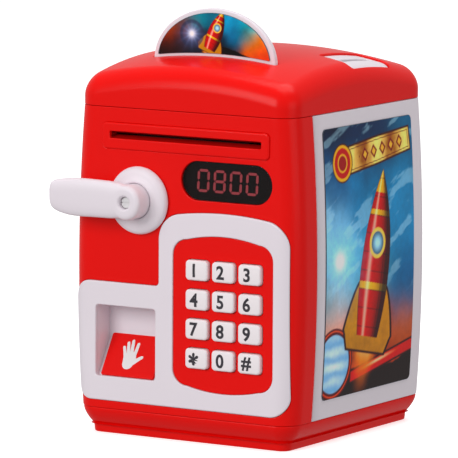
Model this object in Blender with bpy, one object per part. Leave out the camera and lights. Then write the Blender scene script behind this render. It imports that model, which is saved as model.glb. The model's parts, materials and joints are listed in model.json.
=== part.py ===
"""Toy cash-machine savings bank.

A red door with keypad, display, note slot, turning handle and palm scanner closes a white
casing that stands on a red base and carries a red domed cap with a coin slot and a sign.

Sizes are in millimetres about the middle of the body: +X right, +Y back, +Z up from the
foot. solid() turns them into metres and hangs each piece on its moving body's empty.
"""
import bpy
import bmesh
from math import asin, cos, sin, pi, radians, sqrt

MM = 0.001

# ---- clearances -------------------------------------------------------------------------
GAP = 0.3               # between pieces that rest on or pass through each other
PIN_GAP = 0.2           # round a hinge pin
DOOR_GAP = 0.4          # above and below the door
DOOR_SIDE_GAP = 0.6     # between the door's rear edge and the casing
LABEL_GAP = 0.12        # under a stuck-on label
SKIP = 1.0              # how far a cutter runs past what it cuts

# ---- body -------------------------------------------------------------------------------
BODY_W = 129.4          # widest, at BELLY_Z
BODY_D = 130.1
BELLY_Z = 83.6
BULGE = 0.00054         # the side leaves its widest line by BULGE * height^2
CORNER = 11.0           # upright corner radius
WALL = 2.4
BASE_TOP = 13.0
CAP_SEAM = 162.4
LEVELS = 8              # rings up the bulged sides
ARC = 6                 # steps in each upright corner

# ---- base -------------------------------------------------------------------------------
# the base's outer profile: height and how far it is inside the body's outline
BASE_PROFILE = ((0.0, 6.4), (4.0, 6.0), (4.4, 4.8), (7.0, 2.9), (10.0, 1.2), (BASE_TOP, 0.35))
FLOOR_LOW = 4.2
FLOOR_TOP = 7.0
FOOT_RING = 3.6         # width of the ring that it stands on
SHELL = 3.6             # wall of the base and the cap
RIM = 1.5               # thickness of the rims that centre the casing
RIM_REACH = 4.0
RIM_SETBACK = 9.05      # behind the door's rear edge

# ---- cap --------------------------------------------------------------------------------
CREST = 189.9
SAG_X = 7.4             # fall of the roof from its middle to its side edge
SAG_Y = 8.4             # and to its front edge
ROOF_FILLET = 9.2
ROOF_RINGS = 5

# ---- door -------------------------------------------------------------------------------
DOOR_WRAP = 20.0        # how far the door reaches back along the sides
DOOR_WALL = 2.2
DOOR_RIM = 2.4          # its top and bottom walls
COVER = 2.0
COVER_DEPTH = 17.4      # front face of the rear cover, behind the door's face
HINGE_INSET = 7.0       # hinge axis, in from the side at the cap seam
HINGE_DEPTH = 8.0
PIN_R = 1.6
PIN_BOSS = 3.4
PIN_INTO_DOOR = 7.0
PIN_INTO_CAP = 6.0
PIN_INTO_BASE = 3.8
POST_R = 3.0
SCREW_R = 1.3
HEAD_R = 2.6
HEAD_H = 1.6
DOOR_POSTS = ((-BODY_W / 2 + 9.7, BASE_TOP + 7.5), (-BODY_W / 2 + 9.7, CAP_SEAM - 11.4),
              (BODY_W / 2 - 8.7, BASE_TOP + 17.0), (BODY_W / 2 - 8.7, BASE_TOP + 99.0))

# ---- white surround and scanner ---------------------------------------------------------
TRIM_PROUD = 0.6
TRIM_SUNK = 1.0
TRIM_LEFT = -BODY_W / 2 + 1.9
TRIM_RIGHT = BODY_W / 2 - 4.6
TRIM_LOW = 17.2
TRIM_STEP_X = -13.2
TRIM_STEP_Z = 76.2
TRIM_HIGH = 112.4
TRIM_ARCH = 1.9
TRIM_CORNER = 10.0
FIELD_LEFT = -5.0       # the red field round the keys
FIELD_RIGHT = 52.0
FIELD_LOW = 28.6
FIELD_HIGH = 100.4
FIELD_ARCH = 2.5
FIELD_CORNER = 8.0
BAY_LEFT = -49.5
BAY_RIGHT = -15.0
BAY_LOW = 29.3
BAY_HIGH = 64.5
BAY_DEPTH = 12.5
BAY_WALL = 1.8
PLATE_RISE = 20.1
PLATE_T = 1.2
PLATE_MARGIN = 2.0

# ---- keys -------------------------------------------------------------------------------
KEY_NAMES = (("key_1", "key_2", "key_3"), ("key_4", "key_5", "key_6"),
             ("key_7", "key_8", "key_9"), ("key_star", "key_0", "key_hash"))
KEY_X = 9.6             # first column
KEY_Z = 85.8            # top row
KEY_W = 12.6
KEY_H = 9.9
KEY_WEB_X = 2.4         # door face left between two keys, across and down
KEY_WEB_Z = 4.5
KEY_PITCH_X = KEY_W + KEY_WEB_X
KEY_PITCH_Z = KEY_H + KEY_WEB_Z
KEY_CORNER = 2.0
KEY_PROUD = 2.2
KEY_TRAVEL = 1.2
KEY_FLANGE = 0.8        # how far the flange stands out all round
KEY_FLANGE_T = 1.0
MEMBRANE_T = 1.5
BOARD_T = 1.6

# ---- display ----------------------------------------------------------------------------
WINDOW_X = 25.2
WINDOW_Z = 129.3
WINDOW_W = 51.3
WINDOW_H = 19.0
LENS_SUNK = 0.8
LENS_T = 1.6
MODULE_T = 3.8
MODULE_OVERLAP = 1.3

# ---- note slot and drive ----------------------------------------------------------------
SLOT_X = 1.9
SLOT_Z = 148.8
SLOT_W = 86.4
SLOT_H = 3.5
BEZEL_W = 95.3
BEZEL_H = 13.0
BEZEL_PROUD = 1.0
ROLLER_DEPTH = 9.6
ROLLER_R = 4.5
IDLER_R = 3.5
ROLLER_LENGTH = 62.0
AXLE_R = 1.5
NIP = 0.6               # between the two rollers
CHEEK = 2.2
GUIDE_FRONT = 6.9
GUIDE_BACK = 16.6
GEAR_T = 2.4
GEAR_TEETH = 24
PINION_TEETH = 12
TOOTH_MODULE = 0.5
MESH_GAP = 0.25         # extra centre distance, so that the teeth run free
MOTOR_R = 4.8
MOTOR_LENGTH = 18.0
MOTOR_LEAN = 16.0       # degrees the motor stands behind the line straight down

# ---- handle and latch -------------------------------------------------------------------
HANDLE_X = -24.1
HANDLE_Z = 117.6
ROSE_R = 16.6
HUB_R = 8.0
COLLAR_GAP = 0.7        # round the hub
COLLAR_R = HUB_R + COLLAR_GAP
LEVER_FRONT = 15.0      # out from the door's face
LEVER_T = 7.8
LEVER_REACH = 44.3
LEVER_HEIGHT = 19.2
LEVER_TIP = 13.4
SHAFT_R = 2.9
CRANK_R = 6.0
CRANK_PIN = 1.5
CRANK_T = 2.0
BOLT_THROW = 6.0
BOLT_T = 3.0
BOLT_H = 9.0
BOLT_TIP = -BODY_W / 2 + 13.2   # withdrawn
STRIKE_T = 1.8
STRIKE_TIP = -BODY_W / 2 + 9.7
STRIKE_H = 16.0
SOLENOID_X = -BODY_W / 2 + 15.7
SOLENOID_W = 9.0
SOLENOID_H = 15.0
PLUNGER_R = 1.8
PLUNGER_TRAVEL = 3.0

# ---- speaker, batteries, casing posts ---------------------------------------------------
SPEAKER_X = -37.5
SPEAKER_Z = 87.0
SPEAKER_R = 12.5
SPEAKER_T = 6.0
BATTERY_W = 52.0
BATTERY_BACK = BODY_D / 2 - 14.05
BATTERY_FRONT = BATTERY_BACK - 57.0
BATTERY_ROOF = 20.5
BATTERY_WALL = 2.0
COVER_TAB_W = 10.0
COVER_TAB = 7.0
CASE_POST_X = BODY_W / 2 - 16.2
CASE_POST_Y = (-BODY_D / 2 + DOOR_WRAP + 9.05, BODY_D / 2 - 15.05)
CASE_POST_R = 3.4
CASE_POST_TOP = 40.0

# ---- coin slot, sign, labels ------------------------------------------------------------
COIN_X = (BODY_W / 2 - 26.2, BODY_W / 2 - 7.2)
COIN_Y = (BODY_D / 2 - 67.05, BODY_D / 2 - 29.05)
COIN_SUNK = 2.0
COIN_PLATE = 2.4
COIN_FLANGE = 2.5
COIN_SLOT = (3.5, 27.0)
SIGN_X = 0.5
SIGN_DEPTH = 28.0
SIGN_T = 3.0
SIGN_HALF_W = 34.75
SIGN_BASE = CREST - 5.9
SIGN_RISE = 26.7
SIGN_ROOT = 6.0         # how far it reaches down through the roof
SIGN_BORDER = 2.5
LABEL_T = 0.4
SIDE_LABEL_Y = (-BODY_D / 2 + DOOR_WRAP + 7.75, BODY_D / 2 - 17.35)
SIDE_LABEL_Z = (BASE_TOP + 9.5, CAP_SEAM - 7.6)
LABEL_CORNER = 2.5

# ---- worked out from the sizes above ----------------------------------------------------
FRONT = -BODY_D / 2
DOOR_BACK = FRONT + DOOR_WRAP
CASING_FRONT = DOOR_BACK + DOOR_SIDE_GAP
RIM_FRONT = DOOR_BACK + RIM_SETBACK
DOOR_LOW = BASE_TOP + DOOR_GAP
DOOR_HIGH = CAP_SEAM - DOOR_GAP
COVER_FRONT = FRONT + COVER_DEPTH
COVER_BACK = COVER_FRONT + COVER


def half_width(z):
    """Half the body's width at height z: widest at BELLY_Z and falling off as a parabola."""
    return BODY_W / 2 - BULGE * (z - BELLY_Z) ** 2


HINGE_X = half_width(CAP_SEAM) - HINGE_INSET
HINGE_Y = FRONT + HINGE_DEPTH


# ---- outlines ---------------------------------------------------------------------------
def arc(cx, cy, radius, start, end, steps):
    """Points on a circle from one angle to another, in degrees."""
    angles = [radians(start + (end - start) * i / steps) for i in range(steps + 1)]
    return [(cx + radius * cos(t), cy + radius * sin(t)) for t in angles]


def rounded(left, low, right, high, radius, steps=4):
    """A rectangle with round corners, counter-clockwise."""
    left, right = left + radius, right - radius
    low, high = low + radius, high - radius
    return (arc(right, high, radius, 0, 90, steps) + arc(left, high, radius, 90, 180, steps)
            + arc(left, low, radius, 180, 270, steps) + arc(right, low, radius, 270, 360, steps))


def centred(x, z, width, height, radius, steps=4):
    """The same, about a middle."""
    return rounded(x - width / 2, z - height / 2, x + width / 2, z + height / 2, radius, steps)


def arched(left, right, level, rise, steps=6):
    """The points between two corners of a shallow arch, a parabola that rises in the middle."""
    points = []
    for i in range(1, steps):
        t = i / steps
        points.append((left + (right - left) * t, level + 4 * rise * t * (1 - t)))
    return points


def whole_section(z, inset):
    """The body's outline at height z, moved in by inset."""
    half_w, half_d = half_width(z) - inset, BODY_D / 2 - inset
    return rounded(-half_w, -half_d, half_w, half_d, max(CORNER - inset, 0.5), ARC)


def front_section(z, inset, back):
    """The part of the outline that is in front of the line y = back."""
    half_w, half_d = half_width(z) - inset, BODY_D / 2 - inset
    radius = CORNER - inset
    left = arc(-half_w + radius, -half_d + radius, radius, 180, 270, ARC)
    right = arc(half_w - radius, -half_d + radius, radius, 270, 360, ARC)
    return [(-half_w, back)] + left + right + [(half_w, back)]


def rear_section(z, inset, front):
    """The part of the outline that is behind the line y = front."""
    half_w, half_d = half_width(z) - inset, BODY_D / 2 - inset
    radius = CORNER - inset
    right = arc(half_w - radius, half_d - radius, radius, 0, 90, ARC)
    left = arc(-half_w + radius, half_d - radius, radius, 90, 180, ARC)
    return [(half_w, front)] + right + left + [(-half_w, front)]


def heights(low, high, count=LEVELS):
    return [low + (high - low) * i / count for i in range(count + 1)]


# ---- solids -----------------------------------------------------------------------------
def mesh_object(points, faces, name="tool"):
    """A closed mesh with its faces turned outwards."""
    mesh = bpy.data.meshes.new(name)
    mesh.from_pydata([tuple(MM * c for c in p) for p in points], [], faces)
    bm = bmesh.new()
    bm.from_mesh(mesh)
    bmesh.ops.recalc_face_normals(bm, faces=bm.faces)
    bm.to_mesh(mesh)
    bm.free()
    obj = bpy.data.objects.new(name, mesh)
    bpy.context.collection.objects.link(obj)
    return obj


def loft(rings, name="tool"):
    """A solid through rings of equally many points, closed at both ends."""
    count = len(rings[0])
    points = [p for ring in rings for p in ring]
    faces = [tuple(range(count)), tuple(range(len(points) - count, len(points)))]
    for k in range(len(rings) - 1):
        for i in range(count):
            j = (i + 1) % count
            faces.append((k * count + i, k * count + j, (k + 1) * count + j, (k + 1) * count + i))
    return mesh_object(points, faces, name)


def stack(section, levels, *sizes):
    """A loft of a section function through the given heights."""
    return loft([[(x, y, z) for x, y in section(z, *sizes)] for z in levels])


def prism(outline, axis, low, high):
    """An outline pushed along an axis. The outline is in (Y, Z), (X, Z) or (X, Y)."""
    def lift(point, depth):
        a, b = point
        return {"X": (depth, a, b), "Y": (a, depth, b), "Z": (a, b, depth)}[axis]
    return loft([[lift(p, low) for p in outline], [lift(p, high) for p in outline]])


def block(x, y, z):
    """A box from three (low, high) pairs."""
    outline = [(x[0], y[0]), (x[1], y[0]), (x[1], y[1]), (x[0], y[1])]
    return prism(outline, "Z", *z)


def rod(axis, a, b, low, high, radius, sides=20):
    """A round bar along an axis through (a, b) of the other two."""
    return prism(arc(a, b, radius, 0, 360 - 360 / sides, sides - 1), axis, low, high)


def turned(profile, x, z, face, sides=40):
    """A profile of (radius, height) turned about an axis along Y, height counted forwards."""
    rings = []
    for radius, height in profile:
        ring = arc(x, z, radius, 0, 360 - 360 / sides, sides - 1)
        rings.append([(a, face - height, b) for a, b in ring])
    return loft(rings)


def gear_outline(a, b, teeth, start):
    """A gear's outline: each tooth is a tip, a flank, a root and a flank."""
    radius = teeth * TOOTH_MODULE / 2
    tip, root = radius + 0.8 * TOOTH_MODULE, radius - 1.1 * TOOTH_MODULE
    points = []
    for i in range(teeth):
        turn = start + 2 * pi * i / teeth
        for share, reach in ((-0.09, tip), (0.09, tip), (0.29, root), (0.71, root)):
            angle = turn + 2 * pi * share / teeth
            points.append((a + reach * cos(angle), b + reach * sin(angle)))
    return points


def combine(target, tools, operation):
    """Join, cut or intersect a solid with others, which are used up."""
    for tool in tools:
        modifier = target.modifiers.new("combine", "BOOLEAN")
        modifier.operation = operation
        modifier.solver = "EXACT"
        modifier.object = tool
        graph = bpy.context.evaluated_depsgraph_get()
        mesh = bpy.data.meshes.new_from_object(target.evaluated_get(graph))
        target.modifiers.clear()
        target.data = mesh
        bpy.data.objects.remove(tool)
    return target


def cut(target, *tools):
    return combine(target, tools, "DIFFERENCE")


def join(target, *tools):
    return combine(target, tools, "UNION")


def common(target, *tools):
    return combine(target, tools, "INTERSECT")


# ---- bodies, materials and finishing ----------------------------------------------------
COLOURS = {
    "red_plastic": ((0.74, 0.008, 0.006), 0.32, 0.0),
    "white_plastic": ((0.74, 0.68, 0.72), 0.38, 0.0),
    "white_keys": ((0.80, 0.72, 0.74), 0.42, 0.0),
    "smoked_lens": ((0.012, 0.006, 0.006), 0.12, 0.0),
    "black_plastic": ((0.02, 0.02, 0.022), 0.55, 0.0),
    "steel": ((0.62, 0.62, 0.64), 0.30, 1.0),
    "nylon": ((0.72, 0.70, 0.62), 0.50, 0.0),
    "rubber": ((0.03, 0.03, 0.03), 0.80, 0.0),
    "silicone": ((0.35, 0.36, 0.38), 0.65, 0.0),
    "board": ((0.02, 0.16, 0.06), 0.50, 0.0),
    "print": ((0.08, 0.24, 0.42), 0.30, 0.0),
}
materials = {}
bodies = {}


def material(name):
    if name not in materials:
        colour, roughness, metallic = COLOURS[name]
        made = bpy.data.materials.new(name)
        made.use_nodes = True
        shader = made.node_tree.nodes["Principled BSDF"]
        shader.inputs["Base Color"].default_value = (*colour, 1.0)
        shader.inputs["Roughness"].default_value = roughness
        shader.inputs["Metallic"].default_value = metallic
        materials[name] = made
    return materials[name]


def body(name, x, y, z, parent=None):
    """An empty on a moving body's joint axis; x, y and z are about the bank's middle."""
    empty = bpy.data.objects.new(name, None)
    bpy.context.collection.objects.link(empty)
    base = bodies[parent][1] if parent else (0.0, 0.0, 0.0)
    empty.location = [MM * (p - q) for p, q in zip((x, y, z), base)]
    if parent:
        empty.parent = bodies[parent][0]
    bodies[name] = (empty, (x, y, z))


def solid(obj, name, body_name, look, smooth=30.0):
    """Name a finished piece, give it its look and hang it on its body's empty."""
    empty, origin = bodies[body_name]
    obj.name = name
    obj.data.name = name
    for vertex in obj.data.vertices:
        for i in range(3):
            vertex.co[i] -= MM * origin[i]
    obj.parent = empty
    obj.data.materials.clear()
    obj.data.materials.append(material(look))
    obj.data.shade_smooth()
    obj.data.set_sharp_from_angle(angle=radians(smooth))
    return obj


def screw(axis, a, b, seat, tip, head_side):
    """A pan-head screw along an axis, its head's underside at seat and its end at tip."""
    head = rod(axis, a, b, *sorted((seat, seat + head_side * HEAD_H)), HEAD_R)
    shank = rod(axis, a, b, *sorted((seat + head_side * 0.5, tip)), SCREW_R, 12)
    slot = 0.4
    if axis == "Z":
        groove = block((a - HEAD_R, a + HEAD_R), (b - slot, b + slot),
                       sorted((seat + head_side * 1.0, seat + head_side * 3.0)))
    else:
        groove = block((a - HEAD_R, a + HEAD_R),
                       sorted((seat + head_side * 1.0, seat + head_side * 3.0)),
                       (b - slot, b + slot))
    return cut(join(head, shank), groove)


# ---- casing, base and cap ---------------------------------------------------------------
def casing():
    """The white U-shaped casing, with its hinge-side edge chamfered for the door's swing."""
    low, high = BASE_TOP + GAP, CAP_SEAM - GAP
    levels = heights(low, high)
    shell = stack(rear_section, levels, 0.0, CASING_FRONT)
    room = stack(rear_section, heights(low - SKIP, high + SKIP), WALL, CASING_FRONT - SKIP)
    cut(shell, room)
    chamfer = []
    for z in levels:
        outer = half_width(z)
        inner = outer - WALL - 2 * SKIP
        depth = CASING_FRONT + WALL + 2 * SKIP
        chamfer.append([(outer, CASING_FRONT, z), (inner, depth, z), (inner, CASING_FRONT - SKIP, z),
                        (outer, CASING_FRONT - SKIP, z)])
    chamfer[0] = [(x, y, low - SKIP) for x, y, _ in chamfer[0]]
    chamfer[-1] = [(x, y, high + SKIP) for x, y, _ in chamfer[-1]]
    cut(shell, loft(chamfer))
    rib_low = BASE_TOP + RIM_REACH + 2 * GAP
    for side in (-1, 1):
        for y in CASE_POST_Y:
            x = side * CASE_POST_X
            post = rod("Z", x, y, FLOOR_TOP + GAP, CASE_POST_TOP, CASE_POST_R)
            reach = half_width(rib_low) - WALL / 2
            rib = block(sorted((x, side * reach)), (y - 1.0, y + 1.0), (rib_low, CASE_POST_TOP - SKIP))
            join(shell, join(post, rib))
            cut(shell, rod("Z", x, y, FLOOR_TOP, CASE_POST_TOP - 3 * SKIP, SCREW_R + GAP, 12))
    solid(shell, "rear_casing", "bank", "white_plastic")


def side_labels():
    """A printed label on each side, following the bulge."""
    levels = heights(BASE_TOP + GAP, CAP_SEAM - GAP)
    for name, side in (("side_label_right", 1), ("side_label_left", -1)):
        outer = stack(rear_section, levels, -LABEL_GAP - LABEL_T, CASING_FRONT)
        inner = stack(rear_section, levels, -LABEL_GAP, CASING_FRONT - SKIP)
        label = cut(outer, inner)
        shape = rounded(SIDE_LABEL_Y[0], SIDE_LABEL_Z[0], SIDE_LABEL_Y[1], SIDE_LABEL_Z[1], LABEL_CORNER)
        common(label, prism(shape, "X", *sorted((side * BODY_W / 4, side * BODY_W))))
        solid(label, name, "bank", "print")


def centring_rim(low, high):
    """A low U-shaped wall just inside the casing, which keeps it in place."""
    levels = heights(low, high, 2)
    rim = stack(rear_section, levels, WALL + GAP, RIM_FRONT)
    levels = heights(low - SKIP, high + SKIP, 2)
    return cut(rim, stack(rear_section, levels, WALL + GAP + RIM, RIM_FRONT - SKIP))


def base():
    """The red base: a ring to stand on, a floor, a battery box and the lower hinge socket."""
    rings = [[(x, y, z) for x, y in whole_section(BASE_TOP, inset)] for z, inset in BASE_PROFILE]
    tray = loft(rings)
    upper = [[(x, y, z) for x, y in whole_section(BASE_TOP, inset + SHELL)]
             for z, inset in ((FLOOR_TOP, BASE_PROFILE[3][1]), (BASE_TOP + SKIP, 0.35))]
    foot = BASE_PROFILE[0][1] + FOOT_RING
    under = [[(x, y, z) for x, y in whole_section(BASE_TOP, foot)] for z in (-SKIP, FLOOR_LOW)]
    cut(tray, loft(upper), loft(under))
    join(tray, centring_rim(BASE_TOP - RIM_REACH, BASE_TOP + RIM_REACH))
    half = BATTERY_W / 2
    wall = BATTERY_WALL
    join(tray, block((-half - wall, half + wall), (BATTERY_FRONT - wall, BATTERY_BACK + wall),
                     (FLOOR_LOW + SKIP, BATTERY_ROOF + wall)))
    cut(tray, block((-half, half), (BATTERY_FRONT, BATTERY_BACK), (-SKIP, BATTERY_ROOF)))
    tab_end = BATTERY_BACK + COVER_TAB
    screw_y = tab_end - COVER_TAB / 2
    join(tray, rod("Z", 0.0, screw_y, FLOOR_LOW + SKIP, BATTERY_ROOF - SKIP, CASE_POST_R))
    cut(tray, block((-COVER_TAB_W / 2, COVER_TAB_W / 2), (BATTERY_BACK - SKIP, tab_end),
                    (-SKIP, FLOOR_LOW + COVER + GAP)),
        rod("Z", 0.0, screw_y, FLOOR_LOW, BATTERY_ROOF - 3 * SKIP, SCREW_R + GAP, 12))
    socket_low = BASE_TOP - PIN_INTO_BASE - SKIP
    join(tray, rod("Z", HINGE_X, HINGE_Y, socket_low, BASE_TOP, PIN_BOSS))
    cut(tray, rod("Z", HINGE_X, HINGE_Y, BASE_TOP - PIN_INTO_BASE, BASE_TOP + SKIP, PIN_R + PIN_GAP))
    for side in (-1, 1):
        for y in CASE_POST_Y:
            cut(tray, rod("Z", side * CASE_POST_X, y, 0.0, FLOOR_TOP + SKIP, SCREW_R + GAP, 12))
    solid(tray, "base_tray", "bank", "red_plastic")


def batteries():
    """The battery cover with its screw, and the contact plates. The cells are left out."""
    half = BATTERY_W / 2 - GAP
    tab = COVER_TAB_W / 2 - GAP
    low, high = FLOOR_LOW + GAP, FLOOR_LOW + COVER
    lid = block((-half, half), (BATTERY_FRONT + GAP, BATTERY_BACK - GAP), (low, high))
    end = BATTERY_BACK + COVER_TAB
    join(lid, block((-tab, tab), (BATTERY_BACK - SKIP, end - GAP), (low, high)))
    screw_y = end - COVER_TAB / 2
    cut(lid, rod("Z", 0.0, screw_y, 0.0, FLOOR_TOP, SCREW_R + GAP, 12))
    solid(lid, "battery_cover", "bank", "red_plastic")
    fixing = screw("Z", 0.0, screw_y, low - GAP, BATTERY_ROOF - 4 * SKIP, -1)
    solid(fixing, "battery_cover_screw", "bank", "steel")
    for name, y in (("battery_contact_front", BATTERY_FRONT + GAP),
                    ("battery_contact_rear", BATTERY_BACK - GAP - 0.4)):
        plate = block((-half + SKIP, half - SKIP), (y, y + 0.4), (high + GAP, BATTERY_ROOF - GAP))
        solid(plate, name, "bank", "steel")


def case_screws():
    number = 0
    for side in (-1, 1):
        for y in CASE_POST_Y:
            number += 1
            fixing = screw("Z", side * CASE_POST_X, y, FLOOR_LOW - GAP, BASE_TOP + 8 * SKIP, -1)
            solid(fixing, f"case_screw_{number}", "bank", "steel")


def dome(inset):
    """The cap's outer solid, moved in by inset: upright wall, round edge, then a shallow dome."""
    seam = CAP_SEAM if inset == 0 else CAP_SEAM - SKIP
    fillet = max(ROOF_FILLET - inset, 1.0)
    crest = CREST - inset
    half_w, half_d = half_width(CAP_SEAM), BODY_D / 2

    def roof(x, y):
        return crest - SAG_X * (x / half_w) ** 2 - SAG_Y * (y / half_d) ** 2

    def ring(step_in, drop):
        corner = max(CORNER - inset - step_in, 1.5)
        w, d = half_w - inset - step_in, half_d - inset - step_in
        outline = rounded(-w, -d, w, d, corner, ARC)
        points = []
        for i, (x, y) in enumerate(outline):
            points.append((x, y))
            if i % (ARC + 1) == ARC:
                nx, ny = outline[(i + 1) % len(outline)]
                points += [(x + (nx - x) * k / 6, y + (ny - y) * k / 6) for k in range(1, 6)]
        return [(x, y, roof(x, y) - drop) for x, y in points]

    rings = [[(x, y, seam) for x, y, _ in ring(0.0, 0.0)]]
    turns = 5
    for i in range(turns + 1):
        angle = pi / 2 * i / turns
        rings.append(ring(fillet * (1 - cos(angle)), fillet * (1 - sin(angle))))
    width = half_d - inset - fillet
    for i in range(1, ROOF_RINGS):
        rings.append(ring(fillet + width * 0.97 * i / ROOF_RINGS, 0.0))
    return loft(rings)


def sign_outline(border, low):
    """Half an ellipse, cut off at height low or carried straight down to it."""
    half_w, rise = SIGN_HALF_W - border, SIGN_RISE - border
    start = asin(max(0.0, (low - SIGN_BASE) / rise))
    curve = []
    for i in range(25):
        angle = start + (pi - 2 * start) * i / 24
        curve.append((SIGN_X + half_w * cos(angle), SIGN_BASE + rise * sin(angle)))
    if low < SIGN_BASE:
        curve = [(SIGN_X - half_w, low), (SIGN_X + half_w, low)] + curve
    return curve


def cap():
    """The red cap, with the holes for the coin plate and the sign and the upper hinge socket."""
    shell = dome(0.0)
    cut(shell, dome(SHELL))
    join(shell, centring_rim(CAP_SEAM - RIM_REACH, CAP_SEAM + RIM_REACH))
    cut(shell, prism(rounded(COIN_X[0], COIN_Y[0], COIN_X[1], COIN_Y[1], 2.0), "Z", CAP_SEAM + 5, CREST))
    slot_y = FRONT + SIGN_DEPTH
    cut(shell, block((SIGN_X - SIGN_HALF_W - GAP, SIGN_X + SIGN_HALF_W + GAP),
                     (slot_y - GAP, slot_y + SIGN_T + GAP), (SIGN_BASE - 3 * SIGN_ROOT, CREST + SKIP)))
    top = CAP_SEAM + PIN_INTO_CAP
    join(shell, rod("Z", HINGE_X, HINGE_Y, CAP_SEAM, top + SKIP, PIN_BOSS))
    cut(shell, rod("Z", HINGE_X, HINGE_Y, CAP_SEAM - SKIP, top, PIN_R + PIN_GAP))
    solid(shell, "top_cap", "bank", "red_plastic")


def coin_plate():
    """The white plate under the cap's opening, with the coin slot and a hidden flange."""
    sunk = COIN_SUNK
    plate = cut(dome(sunk), dome(sunk + COIN_PLATE))
    common(plate, prism(rounded(COIN_X[0] + GAP, COIN_Y[0] + GAP, COIN_X[1] - GAP, COIN_Y[1] - GAP, 1.7),
                        "Z", CAP_SEAM + 5, CREST))
    flange = cut(dome(SHELL + GAP), dome(SHELL + COIN_PLATE))
    common(flange, prism(rounded(COIN_X[0] - COIN_FLANGE, COIN_Y[0] - COIN_FLANGE, COIN_X[1] - 2 * GAP,
                                 COIN_Y[1] + COIN_FLANGE, 2.0), "Z", CAP_SEAM + 5, CREST))
    join(plate, flange)
    x, y = sum(COIN_X) / 2, sum(COIN_Y) / 2
    cut(plate, prism(centred(x, y, COIN_SLOT[0], COIN_SLOT[1], 1.0), "Z", CAP_SEAM, CREST))
    solid(plate, "coin_slot_plate", "bank", "white_plastic")


def sign():
    """The half-round sign that stands in the roof, and its printed label."""
    front = FRONT + SIGN_DEPTH
    plate = prism(sign_outline(0.0, SIGN_BASE - SIGN_ROOT), "Y", front, front + SIGN_T)
    solid(plate, "sign_plate", "bank", "white_plastic")
    label_low = CREST - SIGN_BORDER + SKIP
    label = prism(sign_outline(SIGN_BORDER, label_low), "Y", front - LABEL_GAP - LABEL_T, front - LABEL_GAP)
    solid(label, "sign_label", "bank", "print")


def strike():
    """The steel strike on the casing's left wall, which the bolt goes behind."""
    wall = -half_width(HANDLE_Z + STRIKE_H / 2) + WALL + GAP
    z = (HANDLE_Z - STRIKE_H / 2, HANDLE_Z + STRIKE_H / 2)
    front = BOLT_FRONT - GAP - STRIKE_T
    tongue = block((wall, STRIKE_TIP), (front, front + STRIKE_T), z)
    join(tongue, block((wall, wall + STRIKE_T), (front, front + 5 * STRIKE_T), z))
    solid(tongue, "strike_plate", "bank", "steel")


def hinge_pins():
    for name, low, high in (
            ("hinge_pin_upper", DOOR_HIGH - PIN_INTO_DOOR + GAP, CAP_SEAM + PIN_INTO_CAP - GAP),
            ("hinge_pin_lower", BASE_TOP - PIN_INTO_BASE + GAP, DOOR_LOW + PIN_INTO_DOOR - GAP)):
        solid(rod("Z", HINGE_X, HINGE_Y, low, high, PIN_R), name, "bank", "steel")


# ---- door -------------------------------------------------------------------------------
def trim_outline(grow):
    """The white surround: low on the left round the scanner, tall on the right round the keys."""
    left, right, low = TRIM_LEFT - grow, TRIM_RIGHT + grow, TRIM_LOW - grow
    step_x, step_z = TRIM_STEP_X - grow, TRIM_STEP_Z + grow
    high = TRIM_HIGH + grow
    r = TRIM_CORNER
    tall = 1.3 * r
    inner = 2.0
    outline = arc(left + r, low + r, r, 180, 270, 6)
    outline += arc(right - r, low + r, r, 270, 360, 6)
    outline += arc(right - tall, high - tall, tall, 0, 80, 6)
    outline += arched(right - tall + tall * cos(radians(80)), step_x + tall - tall * cos(radians(80)),
                      high - tall + tall * sin(radians(80)), TRIM_ARCH)
    outline += arc(step_x + tall, high - tall, tall, 100, 180, 6)
    outline += arc(step_x - inner, step_z + inner, inner, 0, -90, 3)
    outline += arc(left + r, step_z - r, r, 90, 180, 6)
    return outline


def field_outline(grow):
    """The red field round the keys: round corners, arched at the top and the bottom."""
    left, right = FIELD_LEFT - grow, FIELD_RIGHT + grow
    low, high = FIELD_LOW - grow, FIELD_HIGH + grow
    r = FIELD_CORNER
    outline = arc(right - r, high - r, r, 0, 90, 6)
    outline += arched(right - r, left + r, high, FIELD_ARCH)
    outline += arc(left + r, high - r, r, 90, 180, 6)
    outline += arc(left + r, low + r, r, 180, 270, 6)
    outline += arched(left + r, right - r, low, -FIELD_ARCH)
    outline += arc(right - r, low + r, r, 270, 360, 6)
    return outline


def front_layer(outer, inner):
    """A skin of the door's front between two depths under its face."""
    levels = heights(DOOR_LOW, DOOR_HIGH)
    skin = stack(front_section, levels, outer, DOOR_BACK)
    return cut(skin, stack(front_section, levels_past(levels), inner, DOOR_BACK + SKIP))


def levels_past(levels):
    """The same heights with the first and last moved out, for a cutter."""
    return [levels[0] - 0.01] + levels[1:-1] + [levels[-1] + 0.01]


def key_places():
    for row, names in enumerate(KEY_NAMES):
        for column, name in enumerate(names):
            yield name, KEY_X + column * KEY_PITCH_X, KEY_Z - row * KEY_PITCH_Z


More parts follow.
